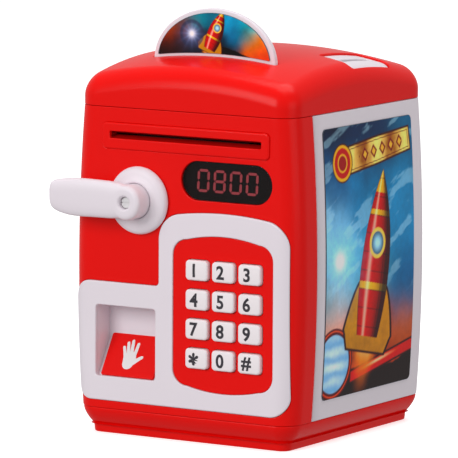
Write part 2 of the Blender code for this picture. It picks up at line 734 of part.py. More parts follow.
def door_shell():
    """The red door: a shallow pan with the slot bezel, windows, recess, bosses and key holes."""
    levels = heights(DOOR_LOW, DOOR_HIGH)
    shell = stack(front_section, levels, 0.0, DOOR_BACK)
    bezel = prism(centred(SLOT_X, SLOT_Z - 0.5, BEZEL_W, BEZEL_H, 2.5), "Y", FRONT - BEZEL_PROUD, FRONT + SKIP)
    join(shell, bezel)
    inner = heights(DOOR_LOW + DOOR_RIM, DOOR_HIGH - DOOR_RIM)
    cut(shell, stack(front_section, inner, DOOR_WALL, DOOR_BACK + SKIP))
    for z, step in ((DOOR_LOW, 1), (DOOR_HIGH, -1)):
        join(shell, rod("Z", HINGE_X, HINGE_Y, *sorted((z + step * 0.5, z + step * PIN_INTO_DOOR)), PIN_BOSS))
        cut(shell, rod("Z", HINGE_X, HINGE_Y, *sorted((z - step * SKIP, z + step * (PIN_INTO_DOOR + SKIP))),
                       PIN_R + PIN_GAP))
    for x, z in DOOR_POSTS:
        join(shell, rod("Y", x, z, FRONT + DOOR_WALL / 2 + 0.5, COVER_FRONT - GAP, POST_R, 16))
        cut(shell, rod("Y", x, z, FRONT + DOOR_WALL + SKIP, COVER_FRONT, SCREW_R + GAP, 12))
    recess = front_layer(-3 * TRIM_PROUD, TRIM_SUNK + GAP)
    ring = prism(trim_outline(GAP), "Y", 2 * FRONT, DOOR_BACK)
    cut(ring, prism(field_outline(-GAP), "Y", 2 * FRONT - SKIP, DOOR_BACK + SKIP))
    cut(shell, common(recess, ring))
    grow = BAY_WALL + GAP
    cut(shell, block((BAY_LEFT - grow, BAY_RIGHT + grow), (FRONT - SKIP, FRONT + DOOR_WALL + SKIP),
                     (BAY_LOW - grow, BAY_HIGH + grow)))
    for _, x, z in key_places():
        hole = centred(x, z, KEY_W + 2 * GAP, KEY_H + 2 * GAP, KEY_CORNER + GAP, 3)
        cut(shell, prism(hole, "Y", FRONT - SKIP, FRONT + DOOR_WALL + SKIP))
    cut(shell, prism(window_outline(GAP), "Y", FRONT - SKIP, FRONT + DOOR_WALL + SKIP))
    cut(shell, prism(centred(SLOT_X, SLOT_Z, SLOT_W, SLOT_H, 0.8), "Y", FRONT - 3, FRONT + DOOR_WALL + SKIP))
    cut(shell, rod("Y", HANDLE_X, HANDLE_Z, FRONT - SKIP, FRONT + DOOR_WALL + SKIP, SHAFT_R + GAP))
    solid(shell, "door_shell", "door", "red_plastic")


def window_outline(grow):
    """The display window, a slot with round ends."""
    high = WINDOW_H + 2 * grow
    return centred(WINDOW_X, WINDOW_Z, WINDOW_W + 2 * grow, high, high / 2 - 0.01, 8)


def door_trim():
    """The white surround and the scanner bay behind it, one moulding."""
    trim = front_layer(-TRIM_PROUD, TRIM_SUNK)
    common(trim, prism(trim_outline(0.0), "Y", 2 * FRONT, DOOR_BACK))
    cut(trim, prism(field_outline(0.0), "Y", 2 * FRONT, DOOR_BACK))
    grow = BAY_WALL
    join(trim, block((BAY_LEFT - grow, BAY_RIGHT + grow), (FRONT, FRONT + BAY_DEPTH + BAY_WALL),
                     (BAY_LOW - grow, BAY_HIGH + grow)))
    cut(trim, block((BAY_LEFT, BAY_RIGHT), (FRONT - 3, FRONT + BAY_DEPTH), (BAY_LOW, BAY_HIGH)))
    lift = (PLATE_T + LABEL_GAP) * sqrt(1 + (PLATE_RISE / BAY_DEPTH) ** 2)
    slope = [(FRONT + 0.5, BAY_LOW - 1), (FRONT + BAY_DEPTH + 1, BAY_LOW - 1),
             (FRONT + BAY_DEPTH + 1, BAY_LOW + PLATE_RISE - lift * BAY_DEPTH / PLATE_RISE),
             (FRONT + BAY_DEPTH, BAY_LOW + PLATE_RISE - lift)]
    start = FRONT + 0.5 + lift * BAY_DEPTH / PLATE_RISE
    slope.append((start, BAY_LOW))
    join(trim, prism(slope, "X", BAY_LEFT - 1, BAY_RIGHT + 1))
    solid(trim, "door_trim", "door", "white_plastic")


def scan_plate():
    """The red sloping plate that the hand is held to."""
    run = BAY_DEPTH - 0.5
    length = sqrt(run ** 2 + PLATE_RISE ** 2)
    nx, nz = PLATE_RISE / length, -run / length
    low = (FRONT + 0.5, BAY_LOW + GAP)
    high = (FRONT + BAY_DEPTH - GAP, BAY_LOW + PLATE_RISE - GAP)
    outline = [low, high, (high[0], high[1] - PLATE_T / -nz), (low[0] + PLATE_T / nx, low[1])]
    plate = prism(outline, "X", BAY_LEFT + PLATE_MARGIN, BAY_RIGHT - PLATE_MARGIN)
    solid(plate, "scan_plate", "door", "red_plastic")


def keys():
    """Twelve keys, each sliding in its own hole with a flange that keeps it in."""
    flange_front = FRONT + DOOR_WALL + GAP
    for name, x, z in key_places():
        body(name + "_slide", x, FRONT, z, "door")
        cap_part = prism(centred(x, z, KEY_W, KEY_H, KEY_CORNER), "Y", FRONT - KEY_PROUD,
                         flange_front + KEY_FLANGE_T / 2)
        flange = prism(centred(x, z, KEY_W + 2 * KEY_FLANGE, KEY_H + 2 * KEY_FLANGE, KEY_CORNER), "Y",
                       flange_front, flange_front + KEY_FLANGE_T)
        solid(join(cap_part, flange), name, name + "_slide", "white_keys")


def electronics():
    """The rubber mat under the keys, the circuit board and the speaker."""
    middle_x = KEY_X + KEY_PITCH_X
    middle_z = KEY_Z - 1.5 * KEY_PITCH_Z
    mat_front = FRONT + DOOR_WALL + GAP + KEY_FLANGE_T + KEY_TRAVEL + GAP
    mat = prism(centred(middle_x, middle_z, 3 * KEY_PITCH_X + 4, 4 * KEY_PITCH_Z + 3, 3.0), "Y", mat_front,
                mat_front + MEMBRANE_T)
    solid(mat, "keypad_membrane", "door", "silicone")
    board_front = mat_front + MEMBRANE_T + GAP
    board = block((middle_x - 1.9 * KEY_PITCH_X, middle_x + 1.8 * KEY_PITCH_X),
                  (board_front, board_front + BOARD_T),
                  (middle_z - 2.9 * KEY_PITCH_Z, middle_z + 2.9 * KEY_PITCH_Z))
    solid(board, "circuit_board", "door", "board")
    back = COVER_FRONT - GAP
    cone = turned([(SPEAKER_R - 2, 0.0), (SPEAKER_R, 2.0), (SPEAKER_R, SPEAKER_T), (SPEAKER_R - 1.5, SPEAKER_T),
                   (SPEAKER_R / 2, SPEAKER_T / 2)], SPEAKER_X, SPEAKER_Z, back, 24)
    solid(cone, "speaker", "door", "black_plastic")


def display():
    """The smoked lens in the window and the display block behind it."""
    front = FRONT + LENS_SUNK
    lens = prism(window_outline(0.0), "Y", front, front + LENS_T)
    solid(lens, "display_lens", "door", "smoked_lens")
    back = max(front + LENS_T, FRONT + DOOR_WALL) + GAP
    grow = 2 * (MODULE_OVERLAP + GAP)
    module = prism(centred(WINDOW_X, WINDOW_Z, WINDOW_W + grow, WINDOW_H + grow, 1.0, 2), "Y", back,
                   back + MODULE_T)
    solid(module, "display_module", "door", "black_plastic")


# the bolt's place, behind the rear cover and the crank
CRANK_FRONT = COVER_BACK + GAP + 0.2
BOLT_FRONT = CRANK_FRONT + CRANK_T + 0.8
BOLT_BACK = BOLT_FRONT + BOLT_T


def rear_cover():
    """The plate that closes the door from inside, with the note's way out and the bolt's guide."""
    plate = stack(front_section, heights(DOOR_LOW + DOOR_RIM + GAP, DOOR_HIGH - DOOR_RIM - GAP),
                  DOOR_WALL + GAP, COVER_BACK)
    cut(plate, block((-BODY_W, BODY_W), (-BODY_D, COVER_FRONT), (0.0, CREST)))
    for x, z in DOOR_POSTS:
        cut(plate, rod("Y", x, z, COVER_FRONT - SKIP, COVER_BACK + SKIP, SCREW_R + GAP, 12))
    slot = centred(SLOT_X, SLOT_Z, SLOT_W, SLOT_H + 1.0, 1.0)
    cut(plate, prism(slot, "Y", COVER_FRONT - SKIP, COVER_BACK + SKIP))
    cut(plate, rod("Y", HANDLE_X, HANDLE_Z, COVER_FRONT - SKIP, COVER_BACK + SKIP, SHAFT_R + GAP))
    inner = BOLT_H / 2 + GAP
    x = (BOLT_TIP + 5.5, BOLT_TIP + 17.5)
    guide = block(x, (COVER_BACK - SKIP, BOLT_BACK + GAP + 1.5), (HANDLE_Z - inner - 2, HANDLE_Z + inner + 2))
    cut(guide, block((x[0] - SKIP, x[1] + SKIP), (COVER_BACK, BOLT_BACK + GAP),
                     (HANDLE_Z - inner, HANDLE_Z + inner)))
    solid(join(plate, guide), "door_rear_cover", "door", "black_plastic")


def door_screws():
    for number, (x, z) in enumerate(DOOR_POSTS, 1):
        fixing = screw("Y", x, z, COVER_BACK + GAP / 2, FRONT + DOOR_WALL + 5 * SKIP, 1)
        solid(fixing, f"door_screw_{number}", "door", "steel")


# the note drive's axes, each as (y, z)
ROLLER_AXIS = (FRONT + ROLLER_DEPTH, SLOT_Z - NIP / 2 - ROLLER_R)
IDLER_AXIS = (FRONT + ROLLER_DEPTH, SLOT_Z + NIP / 2 + IDLER_R)
GEAR_DISTANCE = (GEAR_TEETH + PINION_TEETH) * TOOTH_MODULE / 2 + MESH_GAP
PINION_AXIS = (ROLLER_AXIS[0] + GEAR_DISTANCE * sin(radians(MOTOR_LEAN)),
               ROLLER_AXIS[1] - GEAR_DISTANCE * cos(radians(MOTOR_LEAN)))
GUIDE_RIGHT = SLOT_X + SLOT_W / 2 + CHEEK + 1.0
GUIDE_LEFT = SLOT_X - SLOT_W / 2 - CHEEK - 1.0
GUIDE_LOW = PINION_AXIS[1] + MOTOR_R + GAP
GEAR_START = max(GUIDE_RIGHT, WINDOW_X + WINDOW_W / 2 + MODULE_OVERLAP + GAP) + GAP


def note_guide():
    """The frame that carries both rollers, open to the slot in front and behind."""
    high = IDLER_AXIS[1] + IDLER_R + 1.0
    y = (FRONT + GUIDE_FRONT, FRONT + GUIDE_BACK)
    frame = block((GUIDE_LEFT, GUIDE_RIGHT), y, (GUIDE_LOW, high))
    cut(frame, block((GUIDE_LEFT + CHEEK, GUIDE_RIGHT - CHEEK), (y[0] - SKIP, y[1] - 1.5),
                     (GUIDE_LOW - SKIP, high + SKIP)))
    cut(frame, block((GUIDE_LEFT + CHEEK, GUIDE_RIGHT - CHEEK), (y[0] - SKIP, y[1] + SKIP),
                     (SLOT_Z - SLOT_H / 2, SLOT_Z + SLOT_H / 2)))
    for a, b in (ROLLER_AXIS, IDLER_AXIS):
        cut(frame, rod("X", a, b, GUIDE_LEFT - SKIP, GUIDE_RIGHT + SKIP, AXLE_R + PIN_GAP, 16))
    solid(frame, "note_guide", "door", "black_plastic")


def note_drive():
    """Rubber drive roller with its gear, idler, motor and pinion."""
    for name, (y, z) in (("roller_spin", ROLLER_AXIS), ("idler_spin", IDLER_AXIS), ("pinion_spin", PINION_AXIS)):
        body(name, SLOT_X, y, z, "door")
    half = ROLLER_LENGTH / 2
    for name, where, radius, spin, right in (
            ("drive_roller", ROLLER_AXIS, ROLLER_R, "roller_spin", GEAR_START + GEAR_T + 0.6),
            ("idler_roller", IDLER_AXIS, IDLER_R, "idler_spin", GUIDE_RIGHT)):
        roller = rod("X", *where, SLOT_X - half, SLOT_X + half, radius)
        join(roller, rod("X", *where, GUIDE_LEFT, right, AXLE_R, 16))
        solid(roller, name, spin, "rubber")
    gear = prism(gear_outline(*ROLLER_AXIS, GEAR_TEETH, 0.0), "X", GEAR_START, GEAR_START + GEAR_T)
    cut(gear, rod("X", *ROLLER_AXIS, GEAR_START - SKIP, GEAR_START + GEAR_T + SKIP, AXLE_R + PIN_GAP, 16))
    solid(gear, "roller_gear", "roller_spin", "nylon")
    # a gap of the pinion faces the tooth of the gear that points at it
    towards = radians(MOTOR_LEAN - 90)
    tooth = 2 * pi / GEAR_TEETH
    lead = (towards / tooth - round(towards / tooth)) * tooth
    start = towards + pi + pi / PINION_TEETH + lead * GEAR_TEETH / PINION_TEETH
    pinion = prism(gear_outline(*PINION_AXIS, PINION_TEETH, start), "X", GEAR_START, GEAR_START + GEAR_T)
    cut(pinion, rod("X", *PINION_AXIS, GEAR_START - SKIP, GEAR_START + GEAR_T + SKIP, 1.0 + PIN_GAP, 12))
    solid(pinion, "motor_pinion", "pinion_spin", "nylon")
    end = GEAR_START - 2 * GAP
    motor = rod("X", *PINION_AXIS, end - MOTOR_LENGTH, end, MOTOR_R)
    join(motor, rod("X", *PINION_AXIS, end - SKIP, GEAR_START + GEAR_T, 1.0, 12))
    solid(motor, "note_motor", "door", "steel")


# ---- handle and latch -------------------------------------------------------------------
def escutcheon():
    """The stepped round plate behind the handle, with a collar round the hub."""
    profile = [(ROSE_R - 0.3, GAP), (ROSE_R, 1.0), (ROSE_R - 0.5, 2.0), (ROSE_R - 2.0, 3.4),
               (ROSE_R - 4.2, 4.2), (COLLAR_R + 2.0, 4.9), (COLLAR_R + 0.6, 5.2)]
    rose = turned(profile, HANDLE_X, HANDLE_Z, FRONT)
    cut(rose, rod("Y", HANDLE_X, HANDLE_Z, FRONT - 9, FRONT - GAP - 1.2, COLLAR_R, 40),
        rod("Y", HANDLE_X, HANDLE_Z, FRONT - 9, FRONT + SKIP, SHAFT_R + GAP))
    solid(rose, "handle_escutcheon", "door", "white_plastic")


def lever_outline():
    """The lever seen from the front: level on top, drawn in under its rounded tip."""
    tip = HANDLE_X - LEVER_REACH
    high = HANDLE_Z + LEVER_HEIGHT / 2
    low = HANDLE_Z - LEVER_HEIGHT / 2
    r = 4.5
    outline = [(HANDLE_X, low)] + [(HANDLE_X, high - 0.6)]
    outline += arc(tip + r, high - 1.6 - r, r, 90, 180, 4)
    outline += arc(tip + r, high - LEVER_TIP - 1.6 + r, r, 180, 245, 3)
    outline += [(tip + 0.36 * LEVER_REACH, low + 0.6)]
    return outline


def lever():
    """The white lever: a rounded arm on a round hub, hollow for the shaft and its screw."""
    back = FRONT - LEVER_FRONT + LEVER_T
    arm = prism(lever_outline(), "Y", FRONT - LEVER_FRONT, back)
    bevel = arm.modifiers.new("edges", "BEVEL")
    bevel.width = 2.2 * MM
    bevel.segments = 3
    bevel.limit_method = "ANGLE"
    bevel.angle_limit = radians(50)
    graph = bpy.context.evaluated_depsgraph_get()
    mesh = bpy.data.meshes.new_from_object(arm.evaluated_get(graph))
    arm.modifiers.clear()
    arm.data = mesh
    hub = turned([(HUB_R, GAP + 1.4), (HUB_R + 0.8, LEVER_FRONT - LEVER_T), (HUB_R + 1.0, LEVER_FRONT - 2.2),
                  (HUB_R - 0.8, LEVER_FRONT - 0.2)], HANDLE_X, HANDLE_Z, FRONT)
    join(hub, arm)
    seat = FRONT - LEVER_FRONT + 4.0
    cut(hub, rod("Y", HANDLE_X, HANDLE_Z, seat - 10, seat, 3.2),
        rod("Y", HANDLE_X, HANDLE_Z, seat - SKIP, FRONT, SCREW_R + GAP, 12),
        rod("Y", HANDLE_X, HANDLE_Z, FRONT - 6.5, FRONT + SKIP, SHAFT_R + GAP))
    solid(hub, "handle_lever", "handle", "white_plastic")
    fixing = screw("Y", HANDLE_X, HANDLE_Z, seat - GAP / 2, FRONT - 2.5, -1)
    solid(fixing, "handle_screw", "handle", "steel")


def shaft_and_crank():
    """The handle's shaft through the door, and the crank whose pin drives the bolt."""
    crank_back = CRANK_FRONT + CRANK_T
    shaft = rod("Y", HANDLE_X, HANDLE_Z, FRONT - 6.2, crank_back, SHAFT_R)
    cut(shaft, rod("Y", HANDLE_X, HANDLE_Z, FRONT - 7, FRONT - 1.5, SCREW_R + GAP, 12))
    solid(shaft, "handle_shaft", "handle", "steel")
    lean = radians(60)
    pin_x, pin_z = HANDLE_X + CRANK_R * cos(lean), HANDLE_Z + CRANK_R * sin(lean)
    web = arc(HANDLE_X, HANDLE_Z, SHAFT_R + 2.0, 150, 330, 10) + arc(pin_x, pin_z, CRANK_PIN + 1.0, -30, 150, 8)
    crank = prism(web, "Y", CRANK_FRONT, crank_back)
    join(crank, rod("Y", pin_x, pin_z, CRANK_FRONT + 0.5, BOLT_BACK, CRANK_PIN, 16))
    cut(crank, rod("Y", HANDLE_X, HANDLE_Z, CRANK_FRONT - SKIP, crank_back + SKIP, SHAFT_R + PIN_GAP))
    solid(crank, "latch_crank", "handle", "steel")


def bolt():
    """The sliding bolt, with the upright slot that the crank's pin works in."""
    rest = HANDLE_X + BOLT_THROW / 2
    z = (HANDLE_Z - BOLT_H / 2, HANDLE_Z + BOLT_H / 2)
    y = (BOLT_FRONT, BOLT_BACK)
    bar = block((BOLT_TIP, rest), y, z)
    slot_half = CRANK_PIN + GAP
    slot_z = (HANDLE_Z + CRANK_R * sin(radians(60)) - CRANK_PIN - 2 * GAP,
              HANDLE_Z + CRANK_R + CRANK_PIN + 2 * GAP)
    join(bar, block((rest - slot_half - 3, rest + slot_half + 3), y, (z[0], slot_z[1] + 2.5)))
    cut(bar, block((rest - slot_half, rest + slot_half), (y[0] - SKIP, y[1] + SKIP), slot_z))
    solid(bar, "latch_bolt", "bolt", "steel")


def lock():
    """The lock's coil above the bolt, and its plunger, which comes down towards the bolt."""
    y = (COVER_BACK + GAP, COVER_BACK + GAP + SOLENOID_W)
    rest_tip = HANDLE_Z + BOLT_H / 2 + PLUNGER_TRAVEL + 2 * GAP
    low = rest_tip + 6.0
    x = (SOLENOID_X - SOLENOID_W / 2, SOLENOID_X + SOLENOID_W / 2)
    coil = block(x, y, (low, low + SOLENOID_H))
    middle = sum(y) / 2
    cut(coil, rod("Z", SOLENOID_X, middle, low - SKIP, low + SOLENOID_H - 2, PLUNGER_R + PIN_GAP, 16))
    solid(coil, "lock_solenoid", "door", "black_plastic")
    body("plunger", SOLENOID_X, middle, rest_tip, "door")
    plunger = rod("Z", SOLENOID_X, middle, rest_tip, low + SOLENOID_H - 2 - GAP, PLUNGER_R, 16)
    solid(plunger, "lock_plunger", "plunger", "steel")


# ---- assembly ---------------------------------------------------------------------------
def build():
    for old in list(bpy.data.objects):
        bpy.data.objects.remove(old)
    body("bank", 0.0, 0.0, 0.0)
    body("door", HINGE_X, HINGE_Y, 0.0, "bank")
    body("handle", HANDLE_X, FRONT, HANDLE_Z, "door")
    body("bolt", HANDLE_X, BOLT_FRONT, HANDLE_Z, "door")
    for make in (casing, side_labels, base, batteries, case_screws, cap, coin_plate, sign, strike,
                 hinge_pins, door_shell, door_trim, scan_plate, keys, electronics, display, rear_cover,
                 door_screws, note_guide, note_drive, escutcheon, lever, shaft_and_crank, bolt, lock):
        make()
    stand_on_origin()


def stand_on_origin():
    """Move the bank so that the middle of everything it covers, seen from above, is the origin."""
    bpy.context.view_layer.update()
    left = min(-BODY_W / 2 - LABEL_GAP - LABEL_T, HANDLE_X - LEVER_REACH)
    right = BODY_W / 2 + LABEL_GAP + LABEL_T
    front, back = FRONT - LEVER_FRONT, BODY_D / 2
    bodies["bank"][0].location = (-MM * (left + right) / 2, -MM * (front + back) / 2, 0.0)


build()
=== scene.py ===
# %% [markdown]
# # A toy cash-machine savings bank
# The bank is a red and white moulded box: a red base and a red domed cap hold a white casing
# between them, and the whole front is a red door with a keypad, a display, a note slot, a
# turning handle and a little palm scanner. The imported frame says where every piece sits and
# which body it rides on. Each cell below makes one visible piece or one finish, in the order
# in which the toy would be put together.

import json
import math

import bmesh
import bpy
import numpy as np
from mathutils import Matrix, Vector
from mathutils.geometry import tessellate_polygon


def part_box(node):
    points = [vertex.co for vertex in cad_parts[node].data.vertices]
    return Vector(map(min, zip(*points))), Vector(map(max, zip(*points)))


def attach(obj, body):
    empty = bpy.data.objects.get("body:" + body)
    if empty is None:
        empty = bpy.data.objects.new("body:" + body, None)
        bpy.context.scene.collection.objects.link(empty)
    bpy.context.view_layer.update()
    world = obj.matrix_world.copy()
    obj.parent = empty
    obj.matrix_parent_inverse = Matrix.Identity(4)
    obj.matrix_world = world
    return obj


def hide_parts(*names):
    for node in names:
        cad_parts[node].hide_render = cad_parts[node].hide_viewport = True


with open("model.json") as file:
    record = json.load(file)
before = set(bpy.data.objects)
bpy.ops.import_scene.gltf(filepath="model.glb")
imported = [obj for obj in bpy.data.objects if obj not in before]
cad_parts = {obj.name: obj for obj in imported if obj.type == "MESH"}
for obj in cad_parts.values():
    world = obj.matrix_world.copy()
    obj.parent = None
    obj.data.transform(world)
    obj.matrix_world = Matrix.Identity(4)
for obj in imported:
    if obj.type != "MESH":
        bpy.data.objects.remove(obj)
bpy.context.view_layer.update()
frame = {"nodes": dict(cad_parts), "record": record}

# %% [markdown]
# The work is done in millimetres about the middle of the body, because a toy's drawing would
# be. The middle comes from the frame: the casing gives the sides and the back, and the door
# gives the front, less the lip of its note slot.

# %% Sizes
MM = 0.001


def box_mm(node):
    """A node's lowest and highest corner in millimetres, as two arrays."""
    return tuple(np.array(corner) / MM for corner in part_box(node))


LIP = 1.0               # the note slot's lip stands this far out of the door
casing_low, casing_high = box_mm("rear_casing")
door_low, door_high = box_mm("door_shell")
front_y = door_low[1] + LIP
MIDDLE = np.array([(casing_low[0] + casing_high[0]) / 2, (front_y + casing_high[1]) / 2, 0.0])
HALF_W = 64.7
HALF_D = (casing_high[1] - front_y) / 2
FRONT = -HALF_D
CORNER = 11.0           # radius of the upright corners
BELLY, BULGE = 83.6, 0.00054
DOOR_BACK = FRONT + 20.0
DOOR_LOW, DOOR_HIGH = door_low[2], door_high[2]
SEAM = DOOR_HIGH + 0.4  # underside of the cap
BASE_TOP = DOOR_LOW - 0.4
GAP = 0.3
print("middle", MIDDLE.round(2), "half depth", round(HALF_D, 2), "door", DOOR_LOW, DOOR_HIGH)


def half_width(z):
    """Half the body's width at height z: the widest less BULGE times the height from the belly squared."""
    return HALF_W - BULGE * (np.asarray(z, float) - BELLY) ** 2


def belly_slope(z):
    """How fast the half width grows with height: minus twice BULGE times the height from the belly."""
    return -2 * BULGE * (np.asarray(z, float) - BELLY)


# %% [markdown]
# ## Outlines
# Nearly every part of a moulded toy starts as a flat outline: a rectangle with round corners,
# a stadium, a circle. Outlines are closed runs of points, counter-clockwise, as numpy arrays.

# %% Outlines
def arc(cx, cy, radius, start, end, steps):
    """Points at radius times (cosine, sine) about a centre, from one angle to another, in degrees."""
    t = np.radians(np.linspace(start, end, steps + 1))
    return np.stack([cx + radius * np.cos(t), cy + radius * np.sin(t)], 1)


def rounded(left, low, right, high, radius, steps=8):
    """A rectangle whose four corners are quarter circles."""
    left, right, low, high = left + radius, right - radius, low + radius, high - radius
    return np.concatenate([arc(right, high, radius, 0, 90, steps), arc(left, high, radius, 90, 180, steps),
                           arc(left, low, radius, 180, 270, steps), arc(right, low, radius, 270, 360, steps)])


def centred(x, y, width, height, radius, steps=8):
    """The same, about a middle."""
    return rounded(x - width / 2, y - height / 2, x + width / 2, y + height / 2, radius, steps)


def dense(outline, step=1.5):
    """The outline with its long edges divided, so that it can bend: an edge gets its length over step
    points."""
    ends = np.roll(outline, -1, 0)
    counts = np.maximum(1, np.ceil(np.linalg.norm(ends - outline, axis=1) / step)).astype(int)
    share = np.concatenate([np.arange(n) / n for n in counts])[:, None]
    return np.repeat(outline, counts, 0) * (1 - share) + np.repeat(ends, counts, 0) * share


def clean(outline):
    """The outline without points that repeat their neighbour."""
    return outline[np.linalg.norm(outline - np.roll(outline, 1, 0), axis=1) > 1e-4]


def inward(outline):
    """At each point, the step that moves both its edges in by one: the sum of their unit normals over one
    plus their product."""
    edge = np.roll(outline, -1, 0) - outline
    edge /= np.linalg.norm(edge, axis=1)[:, None]
    n = np.stack([-edge[:, 1], edge[:, 0]], 1)
    before = np.roll(n, 1, 0)
    return (n + before) / (1 + (n * before).sum(1))[:, None]


# %% [markdown]
# ## Plates
# A moulded plate is never sharp. So a plate here is a face filled between its outlines, and
# along each outline goes a profile: down the wall, and a quarter round over the edge. Each
# point carries its true normal, so that flat faces shade flat up to the rounding, and the
# rounding catches the light as a thin line. Points that coincide are joined at the end.

# %% Surfaces as arrays
def gather(*parts):
    """Several (points, normals, triangles) as one, with the triangles' numbers moved on."""
    points, normals, triangles, count = [], [], [], 0
    for p, n, t in parts:
        points.append(p)
        normals.append(n)
        triangles.append(t + count)
        count += len(p)
    return np.concatenate(points), np.concatenate(normals), np.concatenate(triangles)


def strips(rows, columns, closed=True):
    """Two triangles for each cell of a grid whose points are numbered row by row."""
    across = columns if closed else columns - 1
    i, j = np.meshgrid(np.arange(rows - 1), np.arange(across), indexing="ij")
    a, b = i * columns + j, i * columns + (j + 1) % columns
    c, d = a + columns, b + columns
    return np.concatenate([np.stack([a, b, d], -1).reshape(-1, 3), np.stack([a, d, c], -1).reshape(-1, 3)])


def fill(loops):
    """Triangles between an outer loop and the loops of its holes."""
    return np.array(tessellate_polygon([[Vector((x, y, 0)) for x, y in loop] for loop in loops]), int)


def slab(outer, holes=(), front=0.0, back=-2.2, edge=0.5, hole_edge=0.4, back_edge=0.0, rim=True, turns=4,
         back_outer=None):
    """A plate in (a, b, height). A wall point is the outline; a rounding point at angle t is moved in by
    r(1 - cos t) and stands r(1 - sin t) under the face, and its normal leans from the wall's to the face's.
    Without rim the outer wall is left open, and back_outer gives the back face an outline of its own."""
    parts, faces, backs = [], [], []
    for k, loop in enumerate([outer, *holes]):
        loop = clean(np.asarray(loop, float))
        step = inward(loop) * (1 if k == 0 else -1)
        unit = step / np.linalg.norm(step, axis=1)[:, None]
        r, rb = edge if k == 0 else hole_edge, back_edge
        rounding = [(1 - math.cos(t), 1 - math.sin(t), math.cos(t), math.sin(t))
                    for t in np.linspace(0, np.pi / 2, turns + 1)]
        rows = [(r * move, front - r * drop, side, up) for move, drop, side, up in rounding[::-1]]
        if rb:
            rows += [(rb * move, back + rb * drop, side, -up) for move, drop, side, up in rounding]
        else:
            rows.append((0.0, back, 1.0, 0.0))
        ring = np.stack([np.column_stack([loop + step * d, np.full(len(loop), h)]) for d, h, _, _ in rows])
        lean = np.stack([np.column_stack([-unit * side, np.full(len(loop), up)]) for _, _, side, up in rows])
        if k or rim:
            parts.append((ring.reshape(-1, 3), lean.reshape(-1, 3), strips(len(rows), len(loop))))
        faces.append(ring[0])
        backs.append(ring[-1])
    if back_outer is not None:
        backs[0] = np.column_stack([back_outer, np.full(len(back_outer), back)])
    for loops, up in ((faces, 1.0), (backs, -1.0)):
        points = np.concatenate(loops)
        parts.append((points, np.tile([0, 0, up], (len(points), 1)), fill([loop[:, :2] for loop in loops])))
    return gather(*parts)


def cut_lines(surface, lines_a=(), lines_b=()):
    """The surface cut along lines of constant a and b, so that a wide face can bend."""
    points, normals, triangles = surface
    mesh = bpy.data.meshes.new("cutting")
    mesh.from_pydata(points.tolist(), [], triangles.tolist())
    mesh.attributes.new("lean", "FLOAT_VECTOR", "POINT").data.foreach_set("vector", normals.ravel())
    bm = bmesh.new()
    bm.from_mesh(mesh)
    for axis, lines in ((0, lines_a), (1, lines_b)):
        for value in lines:
            place, across = Vector((0, 0, 0)), Vector((0, 0, 0))
            place[axis], across[axis] = value, 1.0
            bmesh.ops.bisect_plane(bm, geom=bm.verts[:] + bm.edges[:] + bm.faces[:], dist=1e-5,
                                   plane_co=place, plane_no=across)
    bmesh.ops.triangulate(bm, faces=bm.faces[:])
    bm.to_mesh(mesh)
    bm.free()
    points, normals = np.zeros(len(mesh.vertices) * 3), np.zeros(len(mesh.vertices) * 3)
    corners = np.zeros(len(mesh.polygons) * 3, int)
    mesh.vertices.foreach_get("co", points)
    mesh.attributes["lean"].data.foreach_get("vector", normals)
    mesh.loops.foreach_get("vertex_index", corners)
    bpy.data.meshes.remove(mesh)
    return points.reshape(-1, 3), normals.reshape(-1, 3), corners.reshape(-1, 3)


# %% Ways to place a flat surface
def facing_front(surface, face=None):
    """(a, b, height) becomes (x, z) on an upright plane, with height counted towards the viewer."""
    p, n, t = surface
    y = FRONT if face is None else face
    return np.stack([p[:, 0], y - p[:, 2], p[:, 1]], 1), np.stack([n[:, 0], -n[:, 2], n[:, 1]], 1), t


def facing_up(surface, level=0.0):
    """(a, b, height) becomes (x, y, level + height)."""
    p, n, t = surface
    return p + np.array([0, 0, level]), n, t


def wrapped(surface):
    """The door's sheet bent round the body. The distance from the middle runs along the flat front, then a
    quarter circle of the corner's radius, then straight back; height adds to that radius."""
    p, n, t = surface
    s, z, h = p.T
    flat = half_width(z) - CORNER
    side, reach = np.sign(s), np.abs(s)
    turn = np.clip((reach - flat) / CORNER, 0, np.pi / 2)
    past = np.maximum(reach - flat - CORNER * np.pi / 2, 0)
    x = side * (np.minimum(reach, flat) + (CORNER + h) * np.sin(turn))
    y = FRONT + CORNER - (CORNER + h) * np.cos(turn) + past
    along = np.stack([np.cos(turn), side * np.sin(turn), np.zeros_like(s)], 1)
    out = np.stack([side * np.sin(turn), -np.cos(turn), -np.sin(turn) * belly_slope(z)], 1)
    up = np.array([0.0, 0.0, 1.0])
    return np.stack([x, y, z], 1), n[:, :1] * along + n[:, 1:2] * up + n[:, 2:] * out, t


def unwrapped(outline):
    """An outline seen from the front as lengths along the door's sheet: past the flat, the angle whose sine is
    the reach over the radius, times the radius."""
    x, z = outline.T
    flat = half_width(z) - CORNER
    over = np.clip((np.abs(x) - flat) / CORNER, 0, 0.999)
    return np.stack([np.where(np.abs(x) > flat, np.sign(x) * (flat + CORNER * np.arcsin(over)), x), z], 1)


# %% Making an object
pieces_made = []
JOIN_STEPS = 2000       # points that agree to this many steps per millimetre become one


def backwards(points, normals, triangles):
    """Which triangles face away from their normals: the cross product of two edges points the other way."""
    a, b, c = (points[triangles[:, k]] for k in range(3))
    return (np.cross(b - a, c - a) * normals[triangles].sum(1)).sum(1) < 0


